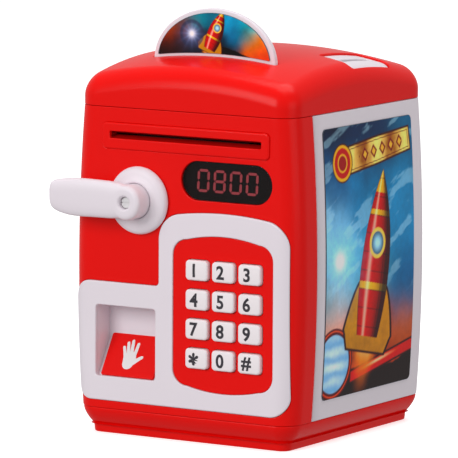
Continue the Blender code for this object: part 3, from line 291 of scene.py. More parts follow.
def make(name, surface, look, body, stands_for=()):
    """Turns arrays into a closed mesh: joins points that coincide, turns each triangle to agree with its
    normals, drops those that have no area, and gives every corner its own normal."""
    points, normals, triangles = surface
    normals = normals / np.maximum(np.linalg.norm(normals, axis=1), 1e-9)[:, None]
    steps = np.round(points * JOIN_STEPS).astype(np.int64)
    _, first, same = np.unique(steps, axis=0, return_index=True, return_inverse=True)
    same = same.ravel()
    joined = same[triangles]
    keep = (joined[:, 0] != joined[:, 1]) & (joined[:, 1] != joined[:, 2]) & (joined[:, 2] != joined[:, 0])
    triangles, joined = triangles[keep], joined[keep]
    wrong = backwards(points, normals, triangles)
    triangles[wrong], joined[wrong] = triangles[wrong][:, ::-1], joined[wrong][:, ::-1]
    mesh = bpy.data.meshes.new(name)
    mesh.from_pydata(((points[first] + MIDDLE) * MM).tolist(), [], joined.tolist())
    mesh.shade_smooth()
    mesh.normals_split_custom_set(normals[triangles].reshape(-1, 3).tolist())
    piece = bpy.data.objects.new(name, mesh)
    return settle(piece, look, body, stands_for)


def settle(piece, look, body, stands_for=()):
    """Links a piece, gives it its finish, says what it rides on, and hides the frame's nodes that it stands for.
    """
    if piece.name not in bpy.context.scene.collection.objects:
        bpy.context.scene.collection.objects.link(piece)
    piece.data.materials.clear()
    piece.data.materials.append(look)
    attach(piece, body)
    if stands_for:
        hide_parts(*stands_for)
    pieces_made.append(piece.name)
    print(f"{piece.name}: {len(piece.data.polygons)} faces on {body}")
    return piece


# %% [markdown]
# ## Finishes
# The plastics are glossy moulded styrene. What makes moulded plastic look real is small: the
# colour flows a little, the gloss is not quite even, and the skin has a faint orange peel that
# breaks up the reflections. One helper builds that, and each finish sets its own values.

# %% Plastics
def node(tree, kind, place=(0, 0), **values):
    """A new node of a kind, at its place in the tree, with its settings."""
    made = tree.nodes.new(kind)
    made.location = place
    for key, value in values.items():
        setattr(made, key, value)
    return made


def finish(name, colour, other, rough=(0.28, 0.36), metal=0.0, coat=0.0, flow=18.0, peel=900.0, depth=0.02,
           grain=(1.0, 1.0, 1.0), specular=0.5, attribute=None):
    """A finish whose colour drifts between two tones, whose roughness drifts between two values, and whose
    skin is bumped by a fine noise. grain stretches the noise, as on brushed metal."""
    look = bpy.data.materials.new(name)
    look.use_nodes = True
    tree = look.node_tree
    shader = tree.nodes["Principled BSDF"]
    shader.inputs["Metallic"].default_value = metal
    shader.inputs["Coat Weight"].default_value = coat
    shader.inputs["Coat Roughness"].default_value = 0.12
    shader.inputs["Specular IOR Level"].default_value = specular
    where = node(tree, "ShaderNodeTexCoord", (-1200, 0))
    stretch = node(tree, "ShaderNodeMapping", (-1000, 0))
    stretch.inputs["Scale"].default_value = grain
    tree.links.new(where.outputs["Object"], stretch.inputs["Vector"])
    drift = node(tree, "ShaderNodeTexNoise", (-800, 200))
    drift.inputs["Scale"].default_value = flow
    drift.inputs["Detail"].default_value = 3.0
    skin = node(tree, "ShaderNodeTexNoise", (-800, -200))
    skin.inputs["Scale"].default_value = peel
    skin.inputs["Detail"].default_value = 4.0
    for noise in (drift, skin):
        tree.links.new(stretch.outputs["Vector"], noise.inputs["Vector"])
    tone = node(tree, "ShaderNodeMix", (-400, 300), data_type="RGBA")
    tone.inputs["A"].default_value = (*colour, 1.0)
    tone.inputs["B"].default_value = (*other, 1.0)
    tree.links.new(drift.outputs["Fac"], tone.inputs["Factor"])
    out = tone.outputs["Result"]
    if attribute:
        printed = node(tree, "ShaderNodeVertexColor", (-600, 500), layer_name=attribute)
        ink = node(tree, "ShaderNodeMix", (-200, 400), data_type="RGBA", blend_type="MULTIPLY")
        ink.inputs["Factor"].default_value = 1.0
        tree.links.new(printed.outputs["Color"], ink.inputs["A"])
        tree.links.new(out, ink.inputs["B"])
        out = ink.outputs["Result"]
    tree.links.new(out, shader.inputs["Base Color"])
    gloss = node(tree, "ShaderNodeMapRange", (-400, 0))
    gloss.inputs["To Min"].default_value, gloss.inputs["To Max"].default_value = rough
    tree.links.new(skin.outputs["Fac"], gloss.inputs["Value"])
    tree.links.new(gloss.outputs["Result"], shader.inputs["Roughness"])
    bump = node(tree, "ShaderNodeBump", (-400, -300))
    bump.inputs["Strength"].default_value = 0.22
    bump.inputs["Distance"].default_value = depth * MM
    tree.links.new(skin.outputs["Fac"], bump.inputs["Height"])
    tree.links.new(bump.outputs["Normal"], shader.inputs["Normal"])
    return look


red = finish("red gloss", (0.80, 0.0035, 0.0022), (0.85, 0.0045, 0.003), (0.22, 0.28),
             depth=0.006, specular=0.14)
white = finish("white gloss", (0.78, 0.71, 0.765), (0.82, 0.745, 0.80), (0.32, 0.40),
               depth=0.01, specular=0.3)
key_white = finish("key satin", (0.86, 0.79, 0.81), (0.90, 0.83, 0.85), (0.38, 0.48),
                   depth=0.015, specular=0.3)
key_ink = finish("key ink", (0.018, 0.014, 0.022), (0.028, 0.022, 0.032), (0.35, 0.5), peel=2500.0)
black = finish("black satin", (0.016, 0.016, 0.018), (0.026, 0.026, 0.028), (0.5, 0.62),
               depth=0.06, peel=1800.0)
lens_black = finish("display face", (0.008, 0.005, 0.005), (0.014, 0.008, 0.008), (0.3, 0.4))
rubber = finish("roller rubber", (0.022, 0.022, 0.022), (0.04, 0.04, 0.04), (0.72, 0.85),
                depth=0.08, peel=2200.0)
silicone = finish("mat silicone", (0.30, 0.31, 0.33), (0.38, 0.39, 0.41), (0.6, 0.7), depth=0.04)
nylon = finish("gear nylon", (0.70, 0.68, 0.60), (0.76, 0.74, 0.66), (0.42, 0.55), depth=0.03)
steel = finish("plated steel", (0.55, 0.56, 0.58), (0.68, 0.68, 0.70), (0.22, 0.42),
               metal=1.0, flow=60.0, peel=500.0, depth=0.015, grain=(0.06, 1.0, 1.0))
board = finish("board lacquer", (0.008, 0.09, 0.03), (0.02, 0.17, 0.06), (0.35, 0.5),
               flow=240.0, depth=0.05)
film = finish("printed film", (0.96, 0.96, 0.96), (1.0, 1.0, 1.0), (0.20, 0.28),
              attribute="ink", depth=0.006, specular=0.2)
zinc = finish("screw zinc", (0.70, 0.68, 0.69), (0.78, 0.76, 0.77), (0.38, 0.5),
              metal=0.35, flow=300.0, depth=0.01)
# The slot's throat and the note guide behind it get the door's red at about half its brightness: painted shade
# for the dark recess behind the note slot.
slot_red_painted_shade = finish("slot red painted shade", (0.42, 0.003, 0.002), (0.48, 0.004, 0.003), (0.35, 0.45),
                    depth=0.02, specular=0.1)
print("finishes:", len(bpy.data.materials))

# %% Finishes for the frame's own nodes
for slot_name, look in (("steel", steel), ("nylon", nylon), ("rubber", rubber), ("silicone", silicone),
                        ("board", board), ("black_plastic", black), ("red_plastic", red),
                        ("white_plastic", white), ("white_keys", key_white), ("smoked_lens", lens_black),
                        ("print", film)):
    for row in frame["record"]["subparts"]:
        if row["material_slot"] == slot_name:
            piece = frame["nodes"][row["node"]]
            piece.data.materials.clear()
            piece.data.materials.append(look)
# the note guide takes the darker red, painted shade inside the note slot
for node_name, look in (("handle_screw", zinc), ("note_guide", slot_red_painted_shade)):
    frame["nodes"][node_name].data.materials[0] = look

# %% [markdown]
# ## The door
# The door is one moulding that is flat in front and bends round both corners. It is made as a
# flat sheet with its windows cut out, as wide as the way round the body, and then wrapped. The
# sheet is cut along lines first, every two degrees or so round the corners, so that it bends.

# %% Outlines on the door
SLOT_X, SLOT_Z, SLOT_W, SLOT_H = 1.9, 148.8, 86.4, 3.5
WINDOW_X, WINDOW_Z, WINDOW_W, WINDOW_H = 25.2, 129.3, 51.3, 19.0
HANDLE_X, HANDLE_Z = -24.1, 117.6
KEY_X, KEY_Z, KEY_DX, KEY_DZ = 9.6, 85.8, 15.0, 14.4
KEY_W, KEY_H, KEY_R = 12.6, 9.9, 2.0
BAY = (-49.5, 29.3, -15.0, 64.5)    # left, low, right, high
BAY_DEPTH = 12.5
KEYS = [("key_1", "1"), ("key_2", "2"), ("key_3", "3"), ("key_4", "4"), ("key_5", "5"), ("key_6", "6"),
        ("key_7", "7"), ("key_8", "8"), ("key_9", "9"), ("key_star", "*"), ("key_0", "0"), ("key_hash", "#")]
key_place = {name: (KEY_X + k % 3 * KEY_DX, KEY_Z - k // 3 * KEY_DZ) for k, (name, _) in enumerate(KEYS)}


def arch(left, right, level, rise, steps=16):
    """Points between two corners of a shallow arch: level plus 4 rise s (1 - s) at a share s of the way."""
    t = np.linspace(0, 1, steps + 1)[1:-1]
    return np.stack([left + (right - left) * t, level + 4 * rise * t * (1 - t)], 1)


def surround_outline(grow):
    """The white surround: low on the left round the scanner, tall and arched on the right round the keys."""
    left, right, low, high = -62.8 - grow, 60.1 + grow, 17.2 - grow, 112.4 + grow
    step_x, step_z, r, tall, inner = -13.2 - grow, 76.2 + grow, 10.0, 13.0, 2.0
    shoulder = math.radians(80)
    return np.concatenate([
        arc(left + r, low + r, r, 180, 270, 12), arc(right - r, low + r, r, 270, 360, 12),
        arc(right - tall, high - tall, tall, 0, 80, 12),
        arch(right - tall + tall * math.cos(shoulder), step_x + tall - tall * math.cos(shoulder),
             high - tall + tall * math.sin(shoulder), 1.9),
        arc(step_x + tall, high - tall, tall, 100, 180, 12),
        arc(step_x - inner, step_z + inner, inner, 0, -90, 5),
        arc(left + r, step_z - r, r, 90, 180, 12)])


def field_outline(grow):
    """The red field round the keys: round corners, arched at the top and the bottom."""
    left, right, low, high, r = -5.0 - grow, 52.0 + grow, 28.6 - grow, 100.4 + grow, 8.0
    return np.concatenate([
        arc(right - r, high - r, r, 0, 90, 10), arch(right - r, left + r, high, 2.5),
        arc(left + r, high - r, r, 90, 180, 10), arc(left + r, low + r, r, 180, 270, 10),
        arch(left + r, right - r, low, -2.5), arc(right - r, low + r, r, 270, 360, 10)])


def window_outline(grow):
    """The display's window, a slot with round ends."""
    high = WINDOW_H + 2 * grow
    return centred(WINDOW_X, WINDOW_Z, WINDOW_W + 2 * grow, high, high / 2 - 0.02, 20)


def sheet_outline(low, high, short=0.0):
    """The door's whole sheet: as far each way as the flat, the corner's quarter circle and the side reach."""
    z = np.linspace(low, high, 60)
    reach = half_width(z) - CORNER + CORNER * np.pi / 2 + (DOOR_BACK - FRONT - CORNER) - short
    x = np.linspace(-1, 1, 90)[1:-1]
    top = np.stack([-x * reach[-1], np.full(len(x), high)], 1)
    bottom = np.stack([x * reach[0], np.full(len(x), low)], 1)
    return np.concatenate([np.stack([reach, z], 1), top, np.stack([-reach[::-1], z[::-1]], 1), bottom])


BEND = [side * x for side in (-1, 1) for x in np.arange(48.0, 80.0, 1.25)]     # cuts round the corners
LEVELS = list(np.arange(20.0, 160.0, 8.0))                                     # and up the barrel shape
slot_lip = centred(SLOT_X, SLOT_Z - 0.5, 95.3, 13.0, 2.5)
key_holes = [centred(x, z, KEY_W + 2 * GAP, KEY_H + 2 * GAP, KEY_R + GAP) for x, z in key_place.values()]

# %% The door's skin
FINE = 0.12             # the hairline left where two fixed mouldings meet, and at the door's top and bottom
skin = slab(sheet_outline(DOOR_LOW - FINE, DOOR_HIGH + FINE),
            [unwrapped(dense(surround_outline(FINE))), dense(window_outline(FINE)), dense(slot_lip)],
            0.0, -2.2, 0.3, 0.45)
field = slab(dense(field_outline(-FINE)), key_holes, 0.0, -2.2, 0.4, 0.35)
lip = slab(slot_lip, [centred(SLOT_X, SLOT_Z, SLOT_W, SLOT_H, 0.8)], LIP, -2.2, 0.9, 0.5)


def throat(wide, narrow, deep):
    """A funnel behind the note slot: from one rectangle to another, the width and height fall evenly with the
    depth."""
    depth = np.linspace(-1.0, -deep, 5)
    share = (depth + 1.0) / (1.0 - deep)
    loops = [centred(SLOT_X, SLOT_Z, *(np.array(wide) + (np.array(narrow) - wide) * q), 0.5) for q in share]
    middle = np.array([SLOT_X, SLOT_Z])
    ring = np.stack([np.column_stack([loop, np.full(len(loop), h)]) for loop, h in zip(loops, depth)])
    lean = np.concatenate([np.sign(middle - ring[:, :, :2]) * [0.02, 1.0],
                           np.full((*ring.shape[:2], 1), 0.25)], 2)
    return ring, lean


THROAT_DEEP, THROAT_WALL = 4.7, 0.8
inner_ring, inner_lean = throat((SLOT_W, SLOT_H), (SLOT_W - 1.0, 0.9), THROAT_DEEP)
outer_ring, outer_lean = throat((SLOT_W + 2 * THROAT_WALL, SLOT_H + 2 * THROAT_WALL),
                                (SLOT_W + 0.6, 2.5), THROAT_DEEP)
ends = np.stack([inner_ring[-1], outer_ring[-1]])
end_lean = np.tile([0, 0, -1.0], (*ends.shape[:2], 1))
funnel = gather(*[(ring.reshape(-1, 3), lean.reshape(-1, 3), strips(len(ring), ring.shape[1]))
                  for ring, lean in ((inner_ring, inner_lean), (outer_ring, -outer_lean), (ends, end_lean))])


def bay_outline(grow, radius):
    """The scanner's bay grown each way."""
    left, bottom, right, top = BAY
    return rounded(left - grow, bottom - grow, right + grow, top + grow, radius)


backing = slab(unwrapped(dense(surround_outline(2.0))), [bay_outline(2.1, 1.0)] + key_holes,
               -1.4, -2.3, 0.0, 0.0)


def body_outline(z, move_in, back, steps=16):
    """The body's outline at height z in front of the line y = back, moved in."""
    half_w, half_d, r = float(half_width(z)) - move_in, HALF_D - move_in, CORNER - move_in
    left = arc(-half_w + r, -half_d + r, r, 180, 270, steps)
    right = arc(half_w - r, -half_d + r, r, 270, 360, steps)
    return np.concatenate([[[-half_w, back]], left, right, [[half_w, back]]])


rims = [facing_up(slab(body_outline(z, 0.4, DOOR_BACK), (), 0.0, -2.2, 0.3), level)
        for z, level in ((DOOR_HIGH, DOOR_HIGH - 0.05), (DOOR_LOW, DOOR_LOW + 2.25))]
door = gather(wrapped(cut_lines(gather(skin, backing), BEND, LEVELS)),
              facing_front(gather(field, lip)), *rims)
make("door_skin", door, red, "door", ["door_shell"])
# The throat is coloured the darker red: painted shade for the recess behind the note slot.
make("slot_throat", facing_front(funnel), slot_red_painted_shade, "door")

# %% [markdown]
# ## The white surround
# The surround is a separate white moulding pressed into a shallow seat in the door. It stands
# six tenths of a millimetre proud, and it carries the scanner's bay, a box sunk into the door.

# %% Surround and bay
BAY_WALL = 1.8
RISE, RUN = 20.1, BAY_DEPTH - 0.5       # how far the sloping bed goes up and in
slope = math.hypot(RUN, RISE)
bay_hole = bay_outline(0.0, 1.6)
bay_box = bay_outline(BAY_WALL, 1.0)
surround_plate = slab(unwrapped(dense(surround_outline(0.0))), [dense(field_outline(0.0)), dense(bay_hole)],
                      0.6, -1.0, 0.8, 0.6)
surround = wrapped(cut_lines(surround_plate, BEND, LEVELS))
bay_walls = slab(bay_box, [bay_hole], -0.9, -BAY_DEPTH, 0, 0)
bay_back = slab(bay_box, (), -BAY_DEPTH, -BAY_DEPTH - BAY_WALL, 0.3)


def wedge(surface):
    """(a, b, height) on the sloping bed: b runs up the slope from the bay's lower front edge."""
    p, n, t = surface
    up, out = np.array([0.0, RUN, RISE]) / slope, np.array([0.0, -RISE, RUN]) / slope
    start = np.array([0.0, FRONT + 0.5, BAY[1] + 0.2])
    return (start + p[:, :1] * np.array([1.0, 0, 0]) + p[:, 1:2] * up + p[:, 2:] * out,
            n[:, :1] * np.array([1.0, 0, 0]) + n[:, 1:2] * up + n[:, 2:] * out, t)


bed_outline = np.array([[BAY[0], 0.3], [BAY[2], 0.3], [BAY[2], slope], [BAY[0], slope]])
bed = wedge(slab(bed_outline, (), -1.35, -2.2, 0.0))
make("surround", gather(surround, facing_front(bay_walls), facing_front(bay_back), bed), white, "door",
     ["door_trim"])

# %% [markdown]
# ## The scanner's plate
# A red plate lies on the bay's sloping bed, with an open white hand printed on it. A print is
# made as a fine grid whose points are coloured by a formula; here the grid keeps only the cells
# inside the hand's bones, four fingers, a thumb and a palm, and colours them all white.

# %% Printed grids
def printed(name, a_range, b_range, step, ink, place, body, keep, look=None, lift=0.0):
    """A grid over (a, b) put in place by a function, with a colour from another. Cells outside keep() are
    left out."""
    a = np.linspace(*a_range, int(round((a_range[1] - a_range[0]) / step)) + 1)
    b = np.linspace(*b_range, int(round((b_range[1] - b_range[0]) / step)) + 1)
    grid_a, grid_b = (g.ravel() for g in np.meshgrid(a, b, indexing="ij"))
    triangles = strips(len(a), len(b), closed=False)
    triangles = triangles[keep(grid_a[triangles].mean(1), grid_b[triangles].mean(1))]
    used, renumbered = np.unique(triangles, return_inverse=True)
    triangles = renumbered.reshape(triangles.shape)
    grid_a, grid_b = grid_a[used], grid_b[used]
    flat = np.stack([grid_a, grid_b, np.full(len(used), lift)], 1)
    points, normals, triangles = place((flat, np.tile([0.0, 0.0, 1.0], (len(used), 1)), triangles))
    wrong = backwards(points, normals, triangles)
    triangles[wrong] = triangles[wrong][:, ::-1]
    mesh = bpy.data.meshes.new(name)
    mesh.from_pydata(((points + MIDDLE) * MM).tolist(), [], triangles.tolist())
    mesh.shade_smooth()
    colour = np.clip(ink(grid_a, grid_b), 0, 1)
    mesh.color_attributes.new("ink", "FLOAT_COLOR", "POINT").data.foreach_set(
        "color", np.column_stack([colour, np.ones(len(colour))]).astype(np.float32).ravel())
    return settle(bpy.data.objects.new(name, mesh), look or film, body)


def soft(distance, width):
    """1 inside a shape and 0 outside, with a smooth edge: three t squared less two t cubed."""
    t = np.clip(0.5 - distance / width, 0, 1)
    return t * t * (3 - 2 * t)


def bone(x, y, a, b, ra, rb):
    """Distance to a tapered finger: to the nearest point of the line from a to b, less a radius that goes from
    ra to rb."""
    a, b = np.array(a), np.array(b)
    t = np.clip(((x - a[0]) * (b - a)[0] + (y - a[1]) * (b - a)[1]) / ((b - a) ** 2).sum(), 0, 1)
    return np.hypot(x - a[0] - t * (b - a)[0], y - a[1] - t * (b - a)[1]) - (ra + (rb - ra) * t)


def paint(under, over, share):
    """One colour laid over another by a share."""
    return under + (np.array(over) - under) * share[:, None]


plate_middle = (BAY[0] + BAY[2]) / 2


def hand(x, y):
    """An open hand held upright: a long palm, four fingers close together and a thumb out to the right."""
    x = x - plate_middle
    bones = [((-1.5, 7.3), (-1.4, 10.2), 3.1, 3.6),        # palm
             ((-4.0, 10.6), (-6.1, 15.6), 0.95, 0.75),      # little finger
             ((-2.6, 11.6), (-4.3, 18.0), 1.0, 0.8),
             ((-0.9, 12.0), (-1.9, 19.2), 1.05, 0.8),
             ((0.9, 11.2), (1.5, 17.8), 1.0, 0.8),
             ((0.7, 7.6), (5.4, 11.0), 1.35, 0.85)]         # thumb
    return np.min([bone(x, y, *values) for values in bones], 0)


plate_box = (BAY[0] + 2.0, 0.4, BAY[2] - 2.0, slope - 0.5)
plate = wedge(slab(rounded(*plate_box, 1.0), (), 0.0, -1.25, 0.5))
make("scanner_plate", plate, red, "door", ["scan_plate"])
hand_ink = finish("hand ink", (0.80, 0.76, 0.77), (0.84, 0.80, 0.81), (0.3, 0.4))
printed("scanner_hand", (plate_middle - 10.5, plate_middle + 10.5), (1.2, 21.6), 0.14,
        lambda x, y: np.ones((len(x), 3)), wedge, "door",
        keep=lambda x, y: hand(x, y) < 0, look=hand_ink, lift=0.05)

# %% [markdown]
# ## Keys
# A key is a small pillow: its outline goes up the wall, over a round edge, and on inwards in
# smaller and smaller rings while its top rises a quarter of a millimetre to the middle. The
# twelve share one shape. Their digits are text turned into a mesh and laid on the pillow.

# %% Twelve keys
KEY_PROUD = 2.2
CROWN = 0.28            # how much higher a key's middle is than its edges
STAR_SIZE, DIGIT_SIZE = 12.5, 9.0
INK = 0.05              # ink stands this far off what it is printed on
DIGIT_SHIFT = 1.2       # the digits sit left of the keys' middles


def pillow(x, z):
    """How far a key's top rises at a point: the crown times one less the square of the share of the way out,
    each way."""
    return CROWN * np.clip(1 - (x / (KEY_W / 2)) ** 2, 0, 1) * np.clip(1 - (z / (KEY_H / 2)) ** 2, 0, 1)


def key_shape():
    """Rings of a rounded rectangle: the wall, a quarter round of radius 1, then inwards over the pillow."""
    rows = [(0.0, -2.8 - KEY_PROUD)]
    rows += [(1 - np.cos(t), np.sin(t) - 1) for t in np.linspace(0, np.pi / 2, 6)]
    rows += [(d, 0.0) for d in (1.5, 2.1, 2.8, 3.5, 4.2, 4.7)]
    rings, leans = [], []
    for d, h in rows:
        loop = centred(0, 0, KEY_W - 2 * d, KEY_H - 2 * d, max(KEY_R - d, 0.15), 6)
        out = centred(0, 0, KEY_W, KEY_H, KEY_R, 6) - centred(0, 0, KEY_W - 2, KEY_H - 2, KEY_R - 1, 6)
        out /= np.linalg.norm(out, axis=1)[:, None]
        side = 1.0 if d == 0 else max(0.0, 1 - d)
        top = np.sqrt(max(0.0, 1 - side * side))
        x, z = loop.T
        rise = pillow(x, z) if d > 0.99 else pillow(x, z) * top
        rings.append(np.column_stack([loop, KEY_PROUD + h + rise]))
        tilt = np.stack([2 * CROWN * x / (KEY_W / 2) ** 2, 2 * CROWN * z / (KEY_H / 2) ** 2,
                         np.ones(len(x))], 1)
        leans.append(np.column_stack([out * side, np.zeros(len(x))]) + tilt * top)
    ring, lean = np.stack(rings), np.stack(leans)
    lid = (ring[-1], lean[-1], fill([ring[-1][:, :2]]))
    return gather((ring.reshape(-1, 3), lean.reshape(-1, 3), strips(len(rows), ring.shape[1])), lid)


def flange():
    """The hidden flange that keeps a key in its hole."""
    return slab(centred(0, 0, KEY_W + 1.6, KEY_H + 1.6, KEY_R), (), -2.2 - GAP, -3.5, 0.15)


def digit(sign, size):
    """A sign of the built-in typeface made bold and laid flat: points about its middle, and triangles."""
    curve = bpy.data.curves.new("sign", "FONT")
    curve.body, curve.size, curve.offset, curve.resolution_u = sign, size, 0.026 * size, 6
    text = bpy.data.objects.new("sign", curve)
    bpy.context.scene.collection.objects.link(text)
    mesh = bpy.data.meshes.new_from_object(text.evaluated_get(bpy.context.evaluated_depsgraph_get()))
    bpy.data.objects.remove(text)
    bm = bmesh.new()
    bm.from_mesh(mesh)
    bmesh.ops.triangulate(bm, faces=bm.faces[:])
    bm.to_mesh(mesh)
    bm.free()
    points, corners = np.zeros(len(mesh.vertices) * 3), np.zeros(len(mesh.loops), int)
    mesh.vertices.foreach_get("co", points)
    mesh.loops.foreach_get("vertex_index", corners)
    points = points.reshape(-1, 3)
    points -= (points.min(0) + points.max(0)) / 2
    return points, corners.reshape(-1, 3)


key_points, key_normals, key_triangles = gather(key_shape(), flange())
for name, sign in KEYS:
    x, z = key_place[name]
    placed = (key_points + np.array([x, z, 0.0]), key_normals, key_triangles)
    make(name + "_cap", facing_front(placed), key_white, name, [name])
    points, triangles = digit(sign, STAR_SIZE if sign == "*" else DIGIT_SIZE)
    points, normals, triangles = cut_lines((points, np.tile([0.0, 0.0, 1.0], (len(points), 1)), triangles),
                                           np.arange(-3.5, 3.6, 0.7), np.arange(-4.2, 4.3, 0.7))
    points[:, 2] = KEY_PROUD + INK + pillow(points[:, 0] - DIGIT_SHIFT, points[:, 1])
    points += np.array([x - DIGIT_SHIFT, z - (0.2 if sign == "*" else 0.0), 0.0])
    make(name + "_digit", facing_front((points, normals, triangles)), key_ink, name)

# %% [markdown]
# ## The display
# Behind a smoked lens sits a black block with four digits of seven bars each. Real bars are
# lit diffusers, so they glow a little; the lens, which covers a little under half
# of what is behind it, takes much of their brightness away.

# %% Display and lens
lens = finish("smoked lens", (0.006, 0.004, 0.004), (0.009, 0.006, 0.006), (0.04, 0.08),
              depth=0.004, specular=0.25)
lens.node_tree.nodes["Principled BSDF"].inputs["Alpha"].default_value = 0.42
glow = finish("lit bars", (0.75, 0.10, 0.12), (0.80, 0.13, 0.15), (0.4, 0.5))
glow_shader = glow.node_tree.nodes["Principled BSDF"]
glow_shader.inputs["Emission Color"].default_value = (1.0, 0.15, 0.18, 1.0)
glow_shader.inputs["Emission Strength"].default_value = 0.55
LENS_SUNK, LENS_T = 0.8, 1.6
LENS_BACK = -LENS_SUNK - LENS_T
window = slab(window_outline(0.0), (), -LENS_SUNK, LENS_BACK, 0.35, back_edge=0.1)
make("display_window", facing_front(window), lens, "door", ["display_lens"])
block = slab(centred(WINDOW_X, WINDOW_Z, WINDOW_W + 3.2, WINDOW_H + 3.2, 1.0), (),
             LENS_BACK - 0.35, -6.3, 0.3)
make("display_block", facing_front(block), lens_black, "door", ["display_module"])


def bar(ax, az, bx, bz, thick=1.25, gap=0.28):
    """One bar of a digit: a long hexagon between two points, pointed at both ends."""
    a, b = np.array([ax, az]), np.array([bx, bz])
    along = (b - a) / np.linalg.norm(b - a)
    side = np.array([-along[1], along[0]]) * thick / 2
    a, b = a + along * gap, b - along * gap
    tip = along * thick / 2
    return np.array([a, a + tip - side, b - tip - side, b, b - tip + side, a + tip + side])


DIGIT_W, DIGIT_H, SLANT = 5.6, 9.9, 0.05
DIGIT_PITCH, FIRST_DIGIT = 9.2, WINDOW_X - 17.4
BARS = {"a": (0, 1, 1, 1), "b": (1, 0.5, 1, 1), "c": (1, 0, 1, 0.5), "d": (0, 0, 1, 0), "e": (0, 0, 0, 0.5),
        "f": (0, 0.5, 0, 1), "g": (0, 0.5, 1, 0.5)}
lit = {"0": "abcdef", "8": "abcdefg"}
bars = []
for k, figure in enumerate("0800"):
    for letter in lit[figure]:
        ax, az, bx, bz = BARS[letter]
        outline = bar(ax * DIGIT_W, az * DIGIT_H, bx * DIGIT_W, bz * DIGIT_H)
        turn = np.sum(outline[:, 0] * np.roll(outline[:, 1], -1) - outline[:, 1] * np.roll(outline[:, 0], -1))
        outline = outline if turn > 0 else outline[::-1]
        outline = outline + np.array([FIRST_DIGIT + k * DIGIT_PITCH, WINDOW_Z - DIGIT_H / 2])
        outline[:, 0] += SLANT * (outline[:, 1] - WINDOW_Z)
        bars.append(slab(outline, (), LENS_BACK - 0.12, LENS_BACK - 0.3, 0.05, turns=1))
make("display_digits", facing_front(gather(*bars)), glow, "door")

# %% [markdown]
# ## The handle
# The round plate behind the handle is turned: a profile of radius and height carried round its
# axis. The lever is a soft, hand-shaped thing, so its arm and its hub are made as two simple
# solids, melted into one skin of small even faces, and smoothed where they meet.

# %% Turned parts
def turned(profile, x, z, sides=96, face=None):
    """(radius, height) points carried round an axis that runs from front to back. Each point's normal is a
    quarter turn from the run of the profile there."""
    profile = np.array(profile, float)
    run = np.gradient(profile, axis=0)
    normal = np.stack([run[:, 1], -run[:, 0]], 1)
    t = np.linspace(0, 2 * np.pi, sides, endpoint=False)
    r, h = profile[:, :1], profile[:, 1:]
    out, forward = normal[:, :1], normal[:, 1:]
    points = np.stack([x + r * np.cos(t), z + r * np.sin(t), h + 0 * t], -1).reshape(-1, 3)
    normals = np.stack([out * np.cos(t), out * np.sin(t), forward + 0 * t], -1).reshape(-1, 3)
    return facing_front((points, -normals if normal[len(normal) // 2, 1] < 0 else normals,
                         strips(len(profile), sides)), face)


def smooth_run(points, steps=6):
    """A curve through points: between two of them, a cubic whose ends lean as their neighbours do."""
    p = np.array(points, float)
    p = np.concatenate([2 * p[:1] - p[1:2], p, 2 * p[-1:] - p[-2:-1]])
    t = np.linspace(0, 1, steps, endpoint=False)[:, None]
    runs = [0.5 * (2 * b + (c - a) * t + (2 * a - 5 * b + 4 * c - d) * t ** 2
                   + (3 * b - a - 3 * c + d) * t ** 3) for a, b, c, d in zip(p, p[1:], p[2:], p[3:])]
    return np.concatenate([*runs, p[-2:-1]])


COLLAR_R = 8.7          # the raised ring that the hub turns in
rose = smooth_run([(16.2, 0.3), (16.6, 0.9), (16.45, 1.9), (15.6, 3.1), (14.0, 3.95), (12.2, 4.35),
                   (10.9, 4.75), (10.1, 5.15), (9.5, 5.2), (8.9, 4.9), (COLLAR_R, 4.2)])
rose = np.concatenate([rose, [(COLLAR_R, 1.5), (3.2, 1.5), (3.2, 0.3), (16.2, 0.3)]])
make("handle_plate", turned(rose[::-1], HANDLE_X, HANDLE_Z), white, "door", ["handle_escutcheon"])

# %% The lever
def ovals(stations, sides=48, power=3.2):
    """Closed rings across X. A station is (x, low z, high z, front y, back y); the ring is a superellipse,
    whose cosine and sine are raised to two over the power."""
    t = np.linspace(0, 2 * np.pi, sides, endpoint=False)
    c = np.sign(np.cos(t)) * np.abs(np.cos(t)) ** (2 / power)
    s = np.sign(np.sin(t)) * np.abs(np.sin(t)) ** (2 / power)
    x, low, high, near, far = np.array(stations, float).T[:, :, None]
    return np.stack([x + 0 * c, (near + far) / 2 + (far - near) / 2 * c,
                     (low + high) / 2 + (high - low) / 2 * s], -1)


def plain_mesh(name, points, triangles):
    """A mesh in metres in the frame's place, with its normals turned outwards."""
    mesh = bpy.data.meshes.new(name)
    mesh.from_pydata(((points + MIDDLE) * MM).tolist(), [], triangles.tolist())
    bm = bmesh.new()
    bm.from_mesh(mesh)
    bmesh.ops.remove_doubles(bm, verts=bm.verts[:], dist=1e-6)
    bmesh.ops.recalc_face_normals(bm, faces=bm.faces[:])
    bm.to_mesh(mesh)
    bm.free()
    return bpy.data.objects.new(name, mesh)


def capped(rings):
    """Rings joined into a skin, with a point at the middle of each end."""
    rows, sides = rings.shape[:2]
    points = np.concatenate([rings.reshape(-1, 3), rings[0].mean(0)[None], rings[-1].mean(0)[None]])
    i = np.arange(sides)
    edge = np.stack([i, (i + 1) % sides], 1)
    fans = [np.column_stack([edge + row * sides, np.full(sides, rows * sides + k)])
            for k, row in enumerate((0, rows - 1))]
    return points, np.concatenate([strips(rows, sides), *fans])


